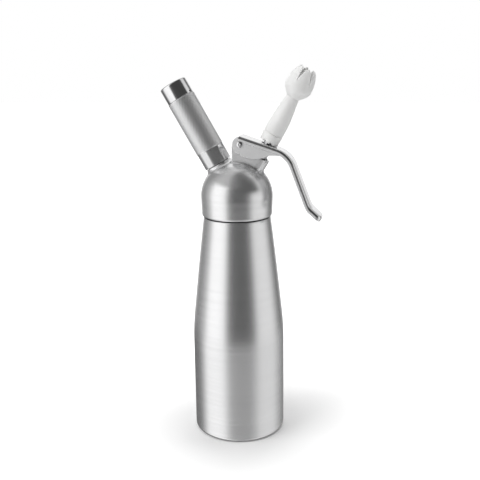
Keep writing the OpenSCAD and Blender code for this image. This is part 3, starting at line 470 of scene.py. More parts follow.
def soft_material(name, colour, rough, speckle=0.03, glow=0.0):
    """Plastic or rubber: faint tone, a moulded grain in the height, dull or glossy by rough, and
    light that glow lets in below the surface."""
    m, tree, shader = new_material(name)
    clouds = placed(tree, CLOUDS, Place=add_node(tree, "TexCoord").outputs["Object"], Scale=900.0)
    feed(tree, shader, {"Base Color": two_tones(tree, colour, speckle, clouds["Tone"]),
                        "Roughness": math_node(tree, "MULTIPLY", clouds["Dull"], rough),
                        "Normal": relief(tree, clouds["Tone"], 0.4, 0.004),
                        "Subsurface Weight": glow, "Subsurface Radius": (1, 1, 1),
                        "Subsurface Scale": 0.004})
    return m


def milled_flats(tree, normal, centred):
    """The yoke's flat sides: normals along Y, above the dome. They are milled, without rings."""
    sideways = math_node(tree, "ABSOLUTE", split_xyz(tree, normal)[1])
    above = ranged(tree, split_xyz(tree, centred)[2], 0.222, 0.228, 0, 1)
    return math_node(tree, "MULTIPLY", ranged(tree, sideways, 0.90, 0.98, 0, 1), above), 0.45


def knurled_grip(tree, normal, centred):
    """The sleeve above its polished band, where the knurl is."""
    start = GRIP_Q * 0.001
    return ranged(tree, split_xyz(tree, centred)[2], start - 0.0008, start, 0, 1), 0.34


BRUSHED = dict(axis=UPRIGHT, colour=(0.93, 0.93, 0.935), rough=0.24, grain=0.05, anisotropy=0.75,
               pitch=3200.0, metallic=0.93)
bottle_metal = turned_metal("bottle brushed aluminium", tone=0.03, **BRUSHED)
head_metal = turned_metal("head brushed aluminium", tone=0.035, other=milled_flats, **BRUSHED)
# With crest, this tone of 0.12 is painted shade in the knurl's valleys and painted light on its crests.
knurl_metal = turned_metal("knurled aluminium", HOLDER, (0.90, 0.90, 0.905), rough=0.15, grain=0.0,
                           anisotropy=0.4, pitch=3200.0, tone=0.12, metallic=0.86,
                           other=knurled_grip, crest=GRIP_R)
cap_metal = turned_metal("polished cap", HOLDER, (0.88, 0.88, 0.885), rough=0.11, grain=0.1,
                         anisotropy=0.6, pitch=3500.0, tone=0.02)
stem_metal = turned_metal("turned stem", VALVE, (0.66, 0.66, 0.68), rough=0.2, grain=0.2,
                          anisotropy=0.4, pitch=3000.0)
lever_metal = plain_metal("polished lever", (0.92, 0.92, 0.925), 0.17, satin_sides=True)
steel = plain_metal("bright steel", (0.80, 0.80, 0.81), 0.1)
charger_metal = plain_metal("charger steel", (0.70, 0.70, 0.71), 0.22)
brass = plain_metal("bush brass", (0.76, 0.60, 0.32), 0.25)
white_plastic = soft_material("white tip plastic", (0.90, 0.90, 0.89), 0.34, speckle=0.01, glow=0.35)
gasket_white = soft_material("white silicone", (0.80, 0.80, 0.77), 0.55)
rubber_black = soft_material("black rubber", (0.02, 0.02, 0.02), 0.6, speckle=0.2)
rubber_red = soft_material("red silicone", (0.45, 0.05, 0.03), 0.5, speckle=0.08)


# ---------------------------------------------------------------- bottle
def cone_wall(inset, top, steps=40):
    """The bottle's wall: straight, a parabola over 24 mm about the shoulder, then a cone whose
    radius is a straight line in the height plus 4 x 0.35 t (1 - t)."""
    def cone(z):
        t = (z - SHOULDER_Z) / (BOTTLE_H - SHOULDER_Z)
        return BOTTLE_R + (CONE_TOP_R - BOTTLE_R) * t + 4 * CONE_BOW * t * (1 - t)
    end = SHOULDER_Z + BLEND_LEN
    curve = parabola([BOTTLE_R, SHOULDER_Z - BLEND_LEN], [BOTTLE_R, SHOULDER_Z], [cone(end), end], 16)
    z = np.linspace(end, top, steps)[1:]
    return np.vstack([curve, np.stack([cone(z), z], -1)]) - [inset, 0]


def thread(r, z, turns, depth, pitch):
    """Radius r less a helical groove: depth times 0.5 less 1.1 cosines of (height / pitch less turn),
    held to 0..1, so that crest and root are flat."""
    lead = np.cos(2 * np.pi * (z / pitch - turns))
    return r - depth * np.clip(0.5 - 1.1 * lead, 0, 1)


def make_bottle():
    """One closed turned shell: ring-grooved base, drawn wall, threaded neck, mouth and inside."""
    groove = soften([[GROOVE_IN_R, 0], [GROOVE_IN_R + 0.2, GROOVE_D], [GROOVE_R - 0.2, GROOVE_D],
                     [GROOVE_R, 0]], 0.15)[1:-1]
    heel = arc(BOTTLE_R - HEEL_R, HEEL_R, HEEL_R, -90, 0, 14)
    wall = cone_wall(0, BOTTLE_H - 1.0)
    root_r = NECK_R - NECK_THREAD_D
    shoulder = soften([wall[-1], [CONE_TOP_R - 0.05, BOTTLE_H], [root_r, BOTTLE_H],
                       [root_r, BOTTLE_H + 1.4]], 0.7)[1:]
    turns = np.arange(256) / 256
    neck = [(thread(NECK_R, z, turns, NECK_THREAD_D, NECK_PITCH), z)
            for z in np.linspace(BOTTLE_H + 1.7, RIM_Z - 1.2, 44)]
    rim = soften([[root_r, RIM_Z - 1.0], [root_r - 0.1, RIM_Z], [MOUTH_R, RIM_Z],
                  [MOUTH_R, RIM_Z - 3]], 0.5)
    inside = cone_wall(WALL, BOTTLE_H - 10)[::-1]
    floor = arc(BOTTLE_R - WALL - INNER_HEEL_R, FLOOR_Z + INNER_HEEL_R, INNER_HEEL_R, 0, -90, 8)
    rows = [*groove, *heel, *wall[1:-1], *shoulder, *neck, *rim, (MOUTH_R, BOTTLE_H - 2), *inside, *floor]
    obj = skin("bottle_shell", UPRIGHT, 2 * np.pi * turns, rows, poles=(0, FLOOR_Z))
    dress(obj, "bottle", ["bottle"], bottle_metal)


# ---------------------------------------------------------------- head
def both(a, b, r):
    """Inside both shapes, with the edge between them rounded to radius r."""
    u, v = np.maximum(r + a, 0), np.maximum(r + b, 0)
    return np.minimum(-r, np.maximum(a, b)) + np.hypot(u, v)


def either(a, b, r):
    """Inside either shape, with the corner between them filled to radius r."""
    u, v = np.maximum(r - a, 0), np.maximum(r - b, 0)
    return np.maximum(r, np.minimum(a, b)) - np.hypot(u, v)


def outline_distance(x, z, poly):
    """Distance from points to a closed outline in the x-z plane, negative inside it."""
    best = np.full(x.shape, 1e9)
    inside = np.zeros(x.shape, bool)
    for (x1, z1), (x2, z2) in zip(poly, np.roll(poly, -1, 0)):
        ex, ez = x2 - x1, z2 - z1
        t = np.clip(((x - x1) * ex + (z - z1) * ez) / (ex * ex + ez * ez), 0, 1)
        best = np.minimum(best, np.hypot(x - x1 - t * ex, z - z1 - t * ez))
        crosses = (z1 > z) != (z2 > z)
        if z1 != z2:
            inside ^= crosses & (x < ex * (z - z1) / (z2 - z1) + x1)
    return np.where(inside, -best, best)


def yoke_outline():
    """Side view of the yoke: rear wall, a rounded rear corner, the lug over the pin, then the boss
    plane, run on forward far enough for the boss's round end to cut it."""
    rear = np.array([LUG_R - YOKE_BACK, PIN_Z - YOKE_REAR_DROP])
    lean = math.degrees(math.atan2(PIN_Z - rear[1], PIN_X - rear[0]))
    t = math.radians(VALVE_TILT)
    pin_p = (PIN_X - VALVE_X) * math.sin(t) + (PIN_Z - DOME_Z) * math.cos(t)
    drop = math.degrees(math.asin((pin_p - BOSS_TOP) / LUG_R))
    plane = VALVE.out([[16, 0, BOSS_TOP], [16, 0, 5]])[:, [0, 2]]
    return np.vstack([[[-YOKE_BACK, DOME_Z + 10]],
                      arc(*rear, LUG_R, 180, 90 + lean, 14),
                      arc(PIN_X, PIN_Z, LUG_R, 90 + lean, -VALVE_TILT - drop, 30), plane])


YOKE = yoke_outline()
BOSS_X, _, BOSS_Z = VALVE.out([0, 0, BOSS_TOP])
BOSS = tilted((0, 0, DOME_Z), math.degrees(math.atan2(BOSS_X, BOSS_Z - DOME_Z)))


def head_field(p):
    """Distance to the head's surface, negative inside: a ball over a slightly tapered skirt, joined
    with 2.4 mm fillets to the port's neck and to the yoke, less its bores and hollows."""
    x, y, z = p[:, 0], p[:, 1], p[:, 2]
    far = np.hypot(x, y)
    skirt = far - np.interp(z, [SKIRT_Z + SKIRT_CHAMFER, DOME_Z], [SKIRT_R, DOME_R])
    ball = np.sqrt(far ** 2 + (z - DOME_Z) ** 2) - DOME_R
    body = np.where(z > DOME_Z, ball, skirt)
    chamfer = (far - (SKIRT_R - SKIRT_CHAMFER) - (z - SKIRT_Z)) / math.sqrt(2)
    body = both(both(body, chamfer, 0.35), SKIRT_Z - z, 0.2)
    hx, hy, hq = HOLDER.into(p)
    hr = np.hypot(hx, hy)
    neck = both(both(hr - PORT_R, hq - PORT_FACE, 0.35), PORT_ROOT - hq, 0.5)
    bx, by, _ = BOSS.into(p)
    stadium = np.hypot(np.maximum(bx, 0), by) - YOKE_W / 2
    yoke = both(stadium, outline_distance(x, z, YOKE), 0.45)
    d = either(either(body, neck, FILLET_R), yoke, FILLET_R)
    vx, vy, vp = VALVE.into(p)
    vr = np.hypot(vx, vy)
    d = both(d, -np.maximum(vr - POCKET_R, POCKET_P - vp), 0.25)
    hollow_r = np.interp(z, [CEILING_Z, CEILING_Z + HOLLOW_H], [HOLLOW_R, HOLLOW_TOP_R])
    for hole in (vr - STEM_R - RUN_GAP,
                 np.maximum(vr - CHAMBER_R, vp - SEAT_P),
                 np.maximum(hr - INLET_R, hq - INLET_Q),
                 np.maximum(hr - PLUG_R - SEAT_GAP, PORT_FACE - PLUG_H - hq),
                 np.maximum(far - NECK_R - THREAD_GAP, z - CEILING_Z),
                 np.maximum(far - hollow_r, z - CEILING_Z - HOLLOW_H),
                 np.hypot(x - PIN_X, z - PIN_Z) - PIN_R - SEAT_GAP):
        d = np.maximum(d, -hole)
    return d


def make_head():
    """The CAD head's mesh, rebuilt in even 0.5 mm cells, then each point moved by Newton's steps
    along the gradient of head_field until it lies on the surface."""
    obj = add_object("head_casting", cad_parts["head"].data.copy())
    weld = obj.modifiers.new("weld", "WELD")
    weld.merge_threshold = 0.000002
    cells = obj.modifiers.new("cells", "REMESH")
    cells.mode, cells.voxel_size = "VOXEL", 0.0005
    mesh = applied(obj).data
    p = np.zeros(len(mesh.vertices) * 3, np.float32)
    mesh.vertices.foreach_get("co", p)
    p = p.reshape(-1, 3).astype(float) * 1000
    probe, farthest = 0.04, 0.4
    for _ in range(5):
        slopes = [(head_field(p + probe * e) - head_field(p - probe * e)) / (2 * probe) for e in np.eye(3)]
        grad = np.stack(slopes, -1)
        size = np.maximum((grad ** 2).sum(-1), 0.2)
        p -= grad * np.clip(head_field(p) / size, -farthest, farthest)[:, None]
    mesh.vertices.foreach_set("co", (p * 0.001).astype(np.float32).ravel())
    mesh.update()
    shade(mesh, 50)
    dress(obj, "head", ["head"], head_metal)


# ---------------------------------------------------------------- lever
def directions(slope):
    """Along the lever's sheet and out of it, as (x, z), where it slopes down by these degrees."""
    c, s = math.cos(math.radians(slope)), math.sin(math.radians(slope))
    return np.array([c, -s]), np.array([s, c])


def lever_stations():
    """Frames along the lever's outer face, as x, z and slope: the top, a bend, the handle, a
    reverse bend and the flared tip. In a bend of radius R the slope grows by length / R."""
    along, out = directions(TOP_DEG)
    start = np.array([PIN_X, PIN_Z]) + EYE_R * out + SHEET_START * along
    path = [(*start, TOP_DEG)]

    def straight(length, steps):
        """Goes straight on for a length."""
        x, z, slope = path[-1]
        for w in np.linspace(0, length, steps + 1)[1:]:
            path.append((*((x, z) + w * directions(slope)[0]), slope))

    def bend(radius, end, steps):
        """Goes round to the slope end, about a centre that lies radius in from the outer face. A
        reverse bend has its centre outside, and so a negative radius."""
        x, z, slope = path[-1]
        centre = (x, z) - radius * directions(slope)[1]
        for turned in np.linspace(slope, end, steps + 1)[1:]:
            path.append((*(centre + radius * directions(turned)[1]), turned))

    straight(TOP_RUN - SHEET_START, 11)
    bend(HANDLE_BEND_R, HANDLE_DEG, 24)
    straight(HANDLE_LEN - TOP_CUT - FLARE_CUT, 9)
    bend(-FLARE_BEND_R, FLARE_DEG, 14)
    straight(FLARE_LEN - FLARE_CUT - TIP_CORNER_R, 3)
    return path


def make_lever():
    """A bent sheet swept along the lever's path. Half a cross-section is a chain of (inset from the
    side, height) points, up the outside over the bend and back inside. Round the tip's corner the
    same chain turns about the corner's centre, and at the end the two halves join as a lip."""
    bend, side = LEVER_BEND_R, LEVER_W / 2
    edge = np.array([[0.25, 0], [0.06, 0.12], [0, 0.4]]) - [0, SIDE_DEPTH]
    outside = np.vstack([edge, arc(bend, -bend, bend, 180, 90, 10)])
    inside = np.vstack([edge * [-1, 1] + [LEVER_T, 0], arc(bend, -bend, bend - LEVER_T, 180, 90, 10)])
    inset, up = np.vstack([inside[::-1], outside]).T
    rings = [(x, z, side - inset, slope) for x, z, slope in lever_stations()]
    x, z, _, slope = rings[-1]
    ahead, _ = directions(slope)
    reach = TIP_CORNER_R - inset
    for a in np.radians(np.linspace(0, 90, 13))[1:]:
        along = reach * math.sin(a)
        across = side - TIP_CORNER_R + reach * math.cos(a)
        rings.append((x + along * ahead[0], z + along * ahead[1], across, slope))
    points = []
    for x, z, across, slope in rings:
        _, out = directions(slope)
        half = np.stack([x + up * out[0], across, z + up * out[1]], -1)
        points.append(np.vstack([half * [1, -1, 1], half[::-1]]))
    m = len(inset)
    last, k = (len(points) - 1) * 2 * m, np.arange(m - 1)
    lip = np.stack([last + k, last + k + 1, last + 2 * m - 2 - k, last + 2 * m - 1 - k], -1)
    faces = [grid_faces(len(points), 2 * m), lip, np.arange(2 * m)[::-1][None, :]]
    sheet = face_outwards(add_mesh("lever_sheet", np.array(points), faces))
    cut_with(sheet, slot_cutter())
    dress(sheet, "lever", ["lever"], lever_metal)


def slot_cutter():
    """The stem's slot: a round-ended outline carried straight through the lever's top."""
    outline = np.vstack([arc(STEM_SLOT_FAR, 0, STEM_SLOT_R, -90, 90, 24),
                         arc(STEM_SLOT_NEAR, 0, STEM_SLOT_R, 90, 270, 24)])
    rings = [np.column_stack([outline, np.full(len(outline), EYE_R + up)]) for up in (-5, 3)]
    return capped("slot cutter", tilted((PIN_X, 0, PIN_Z), TOP_DEG).out(rings))


def plate(name, outline, y_low, y_high, edge, keep_sharp):
    """A flat plate between two planes of constant y. Its rim is rounded by edge, with the outline
    drawn in along its own normals, but not where keep_sharp is set."""
    p = np.asarray(outline, float)

    def normal(v):
        """Each side's unit normal."""
        v = v / np.maximum(np.linalg.norm(v, axis=1, keepdims=True), 1e-9)
        return np.stack([v[:, 1], -v[:, 0]], -1)

    n = normal(p - np.roll(p, 1, 0)) + normal(np.roll(p, -1, 0) - p)
    n /= np.maximum((n ** 2).sum(1, keepdims=True) / 2, 0.3)
    n *= np.where(keep_sharp, 0.0, 1.0)[:, None]
    rings = []
    for face_y, inward, turn in ((y_low, edge, (0, 90)), (y_high, -edge, (90, 0))):
        for a in np.radians(np.linspace(*turn, 4)):
            q = p - n * edge * (1 - math.sin(a))
            y = face_y + inward * (1 - math.cos(a))
            rings.append(np.column_stack([q[:, 0], np.full(len(q), y), q[:, 1]]))
    return capped(name, rings)


def cheek_outline():
    """Side view of a cheek about the pin: the eye's circle behind, a small step, a shallow arc of
    24.5 mm, a notch, level to the bend, then back along the sheet's edge to the eye. The mask that
    comes with it is set where the plate meets the sheet."""
    along, out = directions(TOP_DEG)
    back = SHEET_START * along + math.sqrt(EYE_R ** 2 - SHEET_START ** 2) * out
    eye = arc(0, 0, EYE_R, math.degrees(math.atan2(back[1], back[0])), 205, 30)
    under = soften([eye[-1], [-4.9, -4.5], [-3.5, -6.6], [-1.7, -7.6], [0.5, -7.7], [0.62, -8.85]],
                   [0, 1.5, 1.5, 1.2, 0.3, 0])[1:-1]
    bow = arc(CHEEK_ARC_X, CHEEK_ARC_R - CHEEK_DROP, CHEEK_ARC_R, 241.8, 297.3, 30)
    notch = soften([bow[-1], [23.7, -CHEEK_STEP], [26, -CHEEK_STEP]], [0, 0.3, 0])[1:-1]
    bend_x, bend_z = TOP_RUN * along + (EYE_R - HANDLE_BEND_R) * out
    free = HANDLE_BEND_R - SIDE_DEPTH
    level = math.degrees(math.asin((-CHEEK_STEP - bend_z) / free))
    bend = arc(bend_x, bend_z, free, level, 90 - TOP_DEG, 12)
    close = [(SHEET_START + 0.02) * along + up * out for up in (EYE_R - SIDE_DEPTH, EYE_R - 1.2)]
    pts = np.vstack([eye, under, bow, notch, bend, close])
    sharp = np.zeros(len(pts), bool)
    sharp[-len(bend) - len(close):] = True
    sharp[0] = True
    return pts + [PIN_X, PIN_Z], sharp


def make_cheeks():
    """The lever's two side plates, each as thick as the sheet and flush with its side."""
    outline, sharp = cheek_outline()
    side, inner = LEVER_W / 2, LEVER_W / 2 - LEVER_T
    for name, low, high in (("lever_cheek_near", -side, -inner), ("lever_cheek_far", inner, side)):
        cheek = plate(name, outline, low, high, 0.28, sharp)
        dress(cheek, "lever", ["lever"], lever_metal)


def make_pin():
    """The pin, from its chamfered far end to its low domed head with a centre dimple."""
    side = LEVER_W / 2
    shank = [[0, -side - 1.55], [PIN_R - 0.2, -side - 1.55], [PIN_R, -side - 1.35], [PIN_R, side + 0.1],
             [PIN_HEAD_R, side + 0.1]]
    dome = arc(0, 0, 1, 0, 68, 9) * [PIN_HEAD_R, 0.62] + [0, side + 0.45]
    dimple = [[0.8, side + 0.95], [0.45, side + 0.72], [0.0, side + 0.66]]
    nearward = Axis((PIN_X, 0, PIN_Z), (1, 0, 0), (0, -1, 0))
    pin = face_outwards(revolve("pivot_pin", np.vstack([shank, dome, dimple]), nearward, 64))
    dress(pin, "head", ["lever_pin"], steel)


# ---------------------------------------------------------------- valve
def make_stem():
    """The stem, a turned tube: a thin foot for the seat seal and its nut, a shoulder, the O-ring's
    groove and an open top."""
    groove_end = SEAL_GROOVE_P + SEAL_GROOVE_W
    foot = [[0, STEM_FOOT_P], [STEM_LOW_R - 0.3, STEM_FOOT_P], [STEM_LOW_R, STEM_FOOT_P + 0.3],
            [STEM_LOW_R, SEAT_P - 1], [STEM_R, SEAT_P - 1], [STEM_R, SEAT_P + 0.2]]
    tube = soften([[STEM_BORE_R, SEAT_P + 1], [STEM_BORE_R, SEAT_P + 0.4], [STEM_R, SEAT_P + 0.2],
                   [STEM_R, SEAL_GROOVE_P], [SEAL_GROOVE_R, SEAL_GROOVE_P], [SEAL_GROOVE_R, groove_end],
                   [STEM_R, groove_end], [STEM_R, STEM_TOP_P - 0.45], [STEM_R - 0.5, STEM_TOP_P],
                   [STEM_BORE_R, STEM_TOP_P]], 0.15)
    # The outside is kept, and three points of the bore's corner: a hairline groove hidden in the head
    tube = tube[(tube[:, 1] > SEAT_P + 0.3) & (tube[:, 0] > STEM_BORE_R + 0.01)]
    bore = [[STEM_BORE_R, STEM_TOP_P], [STEM_BORE_R, SEAT_P + 0.2], [0, SEAT_P]]
    obj = face_outwards(revolve("valve_tube", np.vstack([foot, tube, bore]), VALVE, 96))
    dress(obj, "valve", ["valve_stem"], stem_metal)


def make_spring():
    """A tube along a helix: coil radius 4.7, wire radius 0.55, 6.5 turns between bush and cap."""
    low = SPRING_P + WIRE_R + FACE_GAP
    high = SPRING_CAP_TOP - SPRING_CAP_T - WIRE_R - FACE_GAP
    s = np.linspace(0, 1, int(SPRING_TURNS * 40) + 1)[:, None]
    b = np.linspace(0, 2 * np.pi, 14, endpoint=False)[None, :]
    a = 2 * np.pi * SPRING_TURNS * s
    r = (STEM_R + POCKET_R) / 2 + WIRE_R * np.cos(b)
    rings = np.stack([r * np.cos(a), r * np.sin(a), low + (high - low) * s + WIRE_R * np.sin(b)], -1)
    obj = capped("coil_spring", VALVE.out(rings), 50)
    dress(obj, "head", ["valve_spring"], steel)
    anchor = VALVE.out([[0, 0, SPRING_P]])[0] * 0.001
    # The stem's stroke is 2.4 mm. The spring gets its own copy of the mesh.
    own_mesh(obj)


def make_spring_cap():
    """The ring on the stem that the spring pushes on."""
    inner_r, foot = STEM_R + SEAT_GAP, SPRING_CAP_TOP - SPRING_CAP_T
    prof = soften([[inner_r, foot], [SPRING_CAP_R, foot], [SPRING_CAP_R, SPRING_CAP_TOP],
                   [inner_r, SPRING_CAP_TOP]], 0.35, closed=True)
    dress(revolve("spring_seat", prof, VALVE, 96), "valve", ["spring_cap"], stem_metal)


def make_adapter():
    """The white collar: a turned outline whose lower edge is raised 1.2 mm in eight notches,
    with a helical thread round its spigot."""
    step, half = 2 * np.pi / NOTCHES, NOTCH_HALF_W / ADAPTER_LOW_R
    flanks = np.array([-half - 0.01, -half, half, half + 0.01])
    extra = np.concatenate([step * (k + 0.5) + flanks for k in range(NOTCHES)])
    a = np.unique(np.concatenate([np.linspace(0, 2 * np.pi, 193)[:-1], extra % (2 * np.pi)]))
    raised = np.abs(a / step % 1 * step - step / 2) < half + 0.001
    inner_r = STEM_R + SEAT_GAP
    foot = np.where(raised, ADAPTER_P + NOTCH_D, ADAPTER_P)
    under = [(np.where(raised, NOTCH_IN_R, inner_r), foot),
             (np.where(raised, NOTCH_IN_R, NOTCH_IN_R - 0.1), foot),
             (ADAPTER_LOW_R - 0.25, foot), (ADAPTER_LOW_R - 0.02, foot + 0.12)]
    root_r = SPIGOT_R - FINE_THREAD_D
    outer = soften([[ADAPTER_LOW_R, ADAPTER_P + NOTCH_D + 0.05], [ADAPTER_TOP_R, ADAPTER_TOP - 0.6],
                    [ADAPTER_TOP_R - 0.55, ADAPTER_TOP], [root_r, ADAPTER_TOP],
                    [root_r, ADAPTER_TOP + 0.5]], [0, 0.2, 0.1, 0.2, 0])
    screw = [(thread(SPIGOT_R, h, a / (2 * np.pi), FINE_THREAD_D, FINE_PITCH), h)
             for h in np.linspace(ADAPTER_TOP + 0.6, SPIGOT_TOP - 0.6, 24)]
    top = soften([[SPIGOT_R - 0.3, SPIGOT_TOP - 0.5], [SPIGOT_R - 0.4, SPIGOT_TOP], [inner_r, SPIGOT_TOP]],
                 [0, 0.2, 0])
    rows = [*under, *outer, *screw, *top, (inner_r, ADAPTER_P + NOTCH_D + 0.1)]
    obj = skin("tip_collar", VALVE, a, rows, 40)
    dress(obj, "valve", ["tip_adapter"], white_plastic)


def tip_radius(p):
    """The tip's outside: straight, a taper falling with the 1.5th power, a quarter sine out to the
    tulip's widest place, then a 2.2nd power in to the mouth."""
    def share(low, high):
        return np.clip((p - low) / (high - low), 0, 1)
    taper = TIP_BASE_R - (TIP_BASE_R - TIP_WAIST_R) * share(TAPER_P, WAIST_P) ** 1.5
    swell = TIP_WAIST_R + (TULIP_R - TIP_WAIST_R) * np.sin(np.pi / 2 * share(WAIST_P, BULGE_P))
    close = TULIP_R - (TULIP_R - TIP_MOUTH_R) * share(BULGE_P, MOUTH_P) ** 2.2
    return np.where(p <= WAIST_P, taper, np.where(p <= BULGE_P, swell, close))


def make_tip():
    """The tulip tip. Over the slots the wall ends lower: at an angle d from a slot's middle the
    edge lies where r sin d equals the slot's half width, and each tooth's corners are rounded."""
    d = np.linspace(-1, 1, 97)[:-1]
    d = np.sign(d) * np.abs(d) ** 1.7 * math.pi / TEETH
    a = np.concatenate([np.radians(SLOT_TURN) + 2 * np.pi * k / TEETH + d for k in range(TEETH)])
    aside = np.sin(np.tile(np.abs(d), TEETH))
    p = np.linspace(MOUTH_P - SLOT_LEN, MOUTH_P, 120)
    half = SLOT_W * np.interp((MOUTH_P - p) / SLOT_LEN, [0, 0.17, 0.45, 1], [0.72, 0.5, 0.3, 0])
    edge = np.interp(aside, half / tip_radius(p), p, right=MOUTH_P)
    tooth = np.clip((aside - 0.30) / 0.20, 0, 1)
    edge = np.where(edge > MOUTH_P - 2.2, MOUTH_P - 1.4 * (1 - tooth) ** 2, edge)
    edge = np.minimum(edge, MOUTH_P)
    socket_r, rim = SPIGOT_R + THREAD_GAP, tip_radius(edge)

    def wall(h, depth=0.0):
        """A ring at this height, so deep in from the tip's outside."""
        return tip_radius(h) - depth, h

    low = np.concatenate([np.linspace(TIP_P + 2, WAIST_P, 46), np.linspace(WAIST_P, BULGE_P, 34)[1:]])
    steps = np.linspace(0, 1, 30)[1:]
    rows = [(socket_r, TIP_P), (TIP_BASE_R - 0.5, TIP_P), (TIP_BASE_R - 0.45, TIP_P + 0.05),
            (TIP_BASE_R - 0.08, TIP_P + 0.5), (TIP_BASE_R, TIP_P + 0.8),
            *(wall(h) for h in low),
            *(wall(BULGE_P + s * (edge - 0.25 - BULGE_P)) for s in steps),
            (rim - 0.18, edge - 0.04), (rim - 0.45, edge),
            (rim - TIP_WALL + 0.35, edge), (rim - TIP_WALL + 0.1, edge - 0.08),
            *(wall(BULGE_P + s * (edge - 0.35 - BULGE_P), TIP_WALL) for s in steps[::-1]),
            *(wall(h, TIP_WALL) for h in np.linspace(BULGE_P, WAIST_P + 1.5, 16)),
            (TIP_THROAT_R, WAIST_P - 1.5), (TIP_BORE_R, TAPER_P + 2), (TIP_BORE_R, LEDGE_P),
            (socket_r, LEDGE_P)]
    obj = skin("tulip_tip", VALVE, a, rows, 44)
    dress(obj, "tip", ["decorator_tip"], white_plastic)


# ---------------------------------------------------------------- charger side
def make_holder():
    """The sleeve: plain band below, then a grip whose radius carries two crossing sets of helical
    ridges, each a triangle wave, so that diamonds stand where both are high."""
    turns = np.arange(420) / 420

    def knurl(h):
        """The grip's radii at a height: the ridges fade out over 0.8 mm at both ends."""
        one, two = (np.abs(2 * ((turns * KNURL_COUNT + lead) % 1) - 1)
                    for lead in (h / KNURL_LEAD, -h / KNURL_LEAD))
        fade = max(min(1.0, (h - GRIP_Q) / 0.8, (CAP_Q - 0.3 - h) / 0.8), 0)
        return GRIP_R - KNURL_DEPTH * fade * (1 - np.minimum(one, two))

    band = soften([[STUD_BORE_R, HOLDER_Q], [BAND_R, HOLDER_Q], [BAND_R, GRIP_Q - 0.75],
                   [GRIP_R - 0.1, GRIP_Q]], [0, 0.5, 0.15, 0])
    grip = [(knurl(h), h) for h in np.arange(GRIP_Q + 0.1, CAP_Q - 0.45, 0.33)]
    recess_r, recess_q = JOINT_R + RUN_GAP, CAP_Q - JOINT_H
    mouth = soften([[GRIP_R - 0.12, CAP_Q - 0.3], [GRIP_R - 0.4, CAP_Q - 0.02], [recess_r, CAP_Q - 0.02],
                    [recess_r, recess_q]], [0, 0.1, 0.1, 0])
    rows = [*band, *grip, *mouth, (CHARGER_BORE_R, recess_q), (CHARGER_BORE_R, STUD_BORE_Q),
            (STUD_BORE_R, STUD_BORE_Q)]
    obj = skin("holder_sleeve", HOLDER, 2 * np.pi * turns, rows, 60)
    dress(obj, "holder", ["charger_holder"], knurl_metal)


def make_cap():
    """The end cap: a turned outline with a low dome and a rounded rim, and a drilled vent."""
    rim, flat_r, foot = CAP_END_Q - END_DOME, 9.1, CAP_Q + FACE_GAP
    spigot_r, spigot_q = JOINT_R - RUN_GAP, CAP_Q - JOINT_H + 0.1
    bore = [[0, CHARGER_END_Q + CHARGER_BORE_R], *arc(0, CHARGER_END_Q, CHARGER_BORE_R, 86, 0, 15),
            [CHARGER_BORE_R, spigot_q], [spigot_r, spigot_q], [spigot_r, foot]]
    side = soften([[spigot_r - 0.05, foot], [BAND_R, foot], [BAND_R, rim], [flat_r, rim + 0.27]],
                  [0, 0.3, 1.3, 0], 7)[1:-1]
    top = [[r, rim + END_DOME * (1 - (r / 10.9) ** 2)] for r in np.linspace(flat_r, 0.0, 24)]
    obj = face_outwards(revolve("holder_end_cap", np.vstack([bore, side, top]), HOLDER, 160))
    turn = math.radians(VENT_TURN)
    outward = HOLDER.ex * math.cos(turn) + HOLDER.ey * math.sin(turn)
    vent = Axis(HOLDER.out([0, 0, CAP_Q + 1.2]), HOLDER.ez, outward)
    drill = revolve("vent drill", [[0, 9.3], [VENT_R, 9.3], [VENT_R, 14], [0, 14]], vent, 32)
    cut_with(obj, face_outwards(drill))
    dress(obj, "holder", ["holder_cap"], cap_metal)


# ---------------------------------------------------------------- the pieces
for make in (make_bottle, make_head, make_lever, make_cheeks, make_pin, make_stem, make_spring,
             make_spring_cap, make_adapter, make_tip, make_holder, make_cap):
    make()

# Small pieces that keep the CAD's own mesh
for node, material in {
    "head_gasket": gasket_white, "tip_seal": gasket_white, "pin_clip": steel, "seal_retainer": steel,
    "piercing_pin": steel, "charger_stud": steel, "stem_o_ring": rubber_black,
    "check_valve_sleeve": rubber_black, "valve_seat_seal": rubber_red, "inlet_seal": rubber_red,
    "valve_bush": brass, "gas_charger": charger_metal,
}.items():
    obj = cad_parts[node]
    obj.data.materials.clear()
    obj.data.materials.append(material)


# ---------------------------------------------------------------- studio
# The photograph's camera, fitted to the bottle's edges. _PX are pixels of the photograph.
CAMERA_AZIMUTH, CAMERA_ELEVATION, CAMERA_ROLL = 12.5, 12.3585, -0.7866
CAMERA_RANGE, SEAM_Z = 629.44, 189.65
PHOTO_PX, FOCAL_PX, SEAM_ROW_PX, SHIFT_X_PX, SHIFT_Y_PX = 480, 749.58, 214.743, 2.4545, 0.5


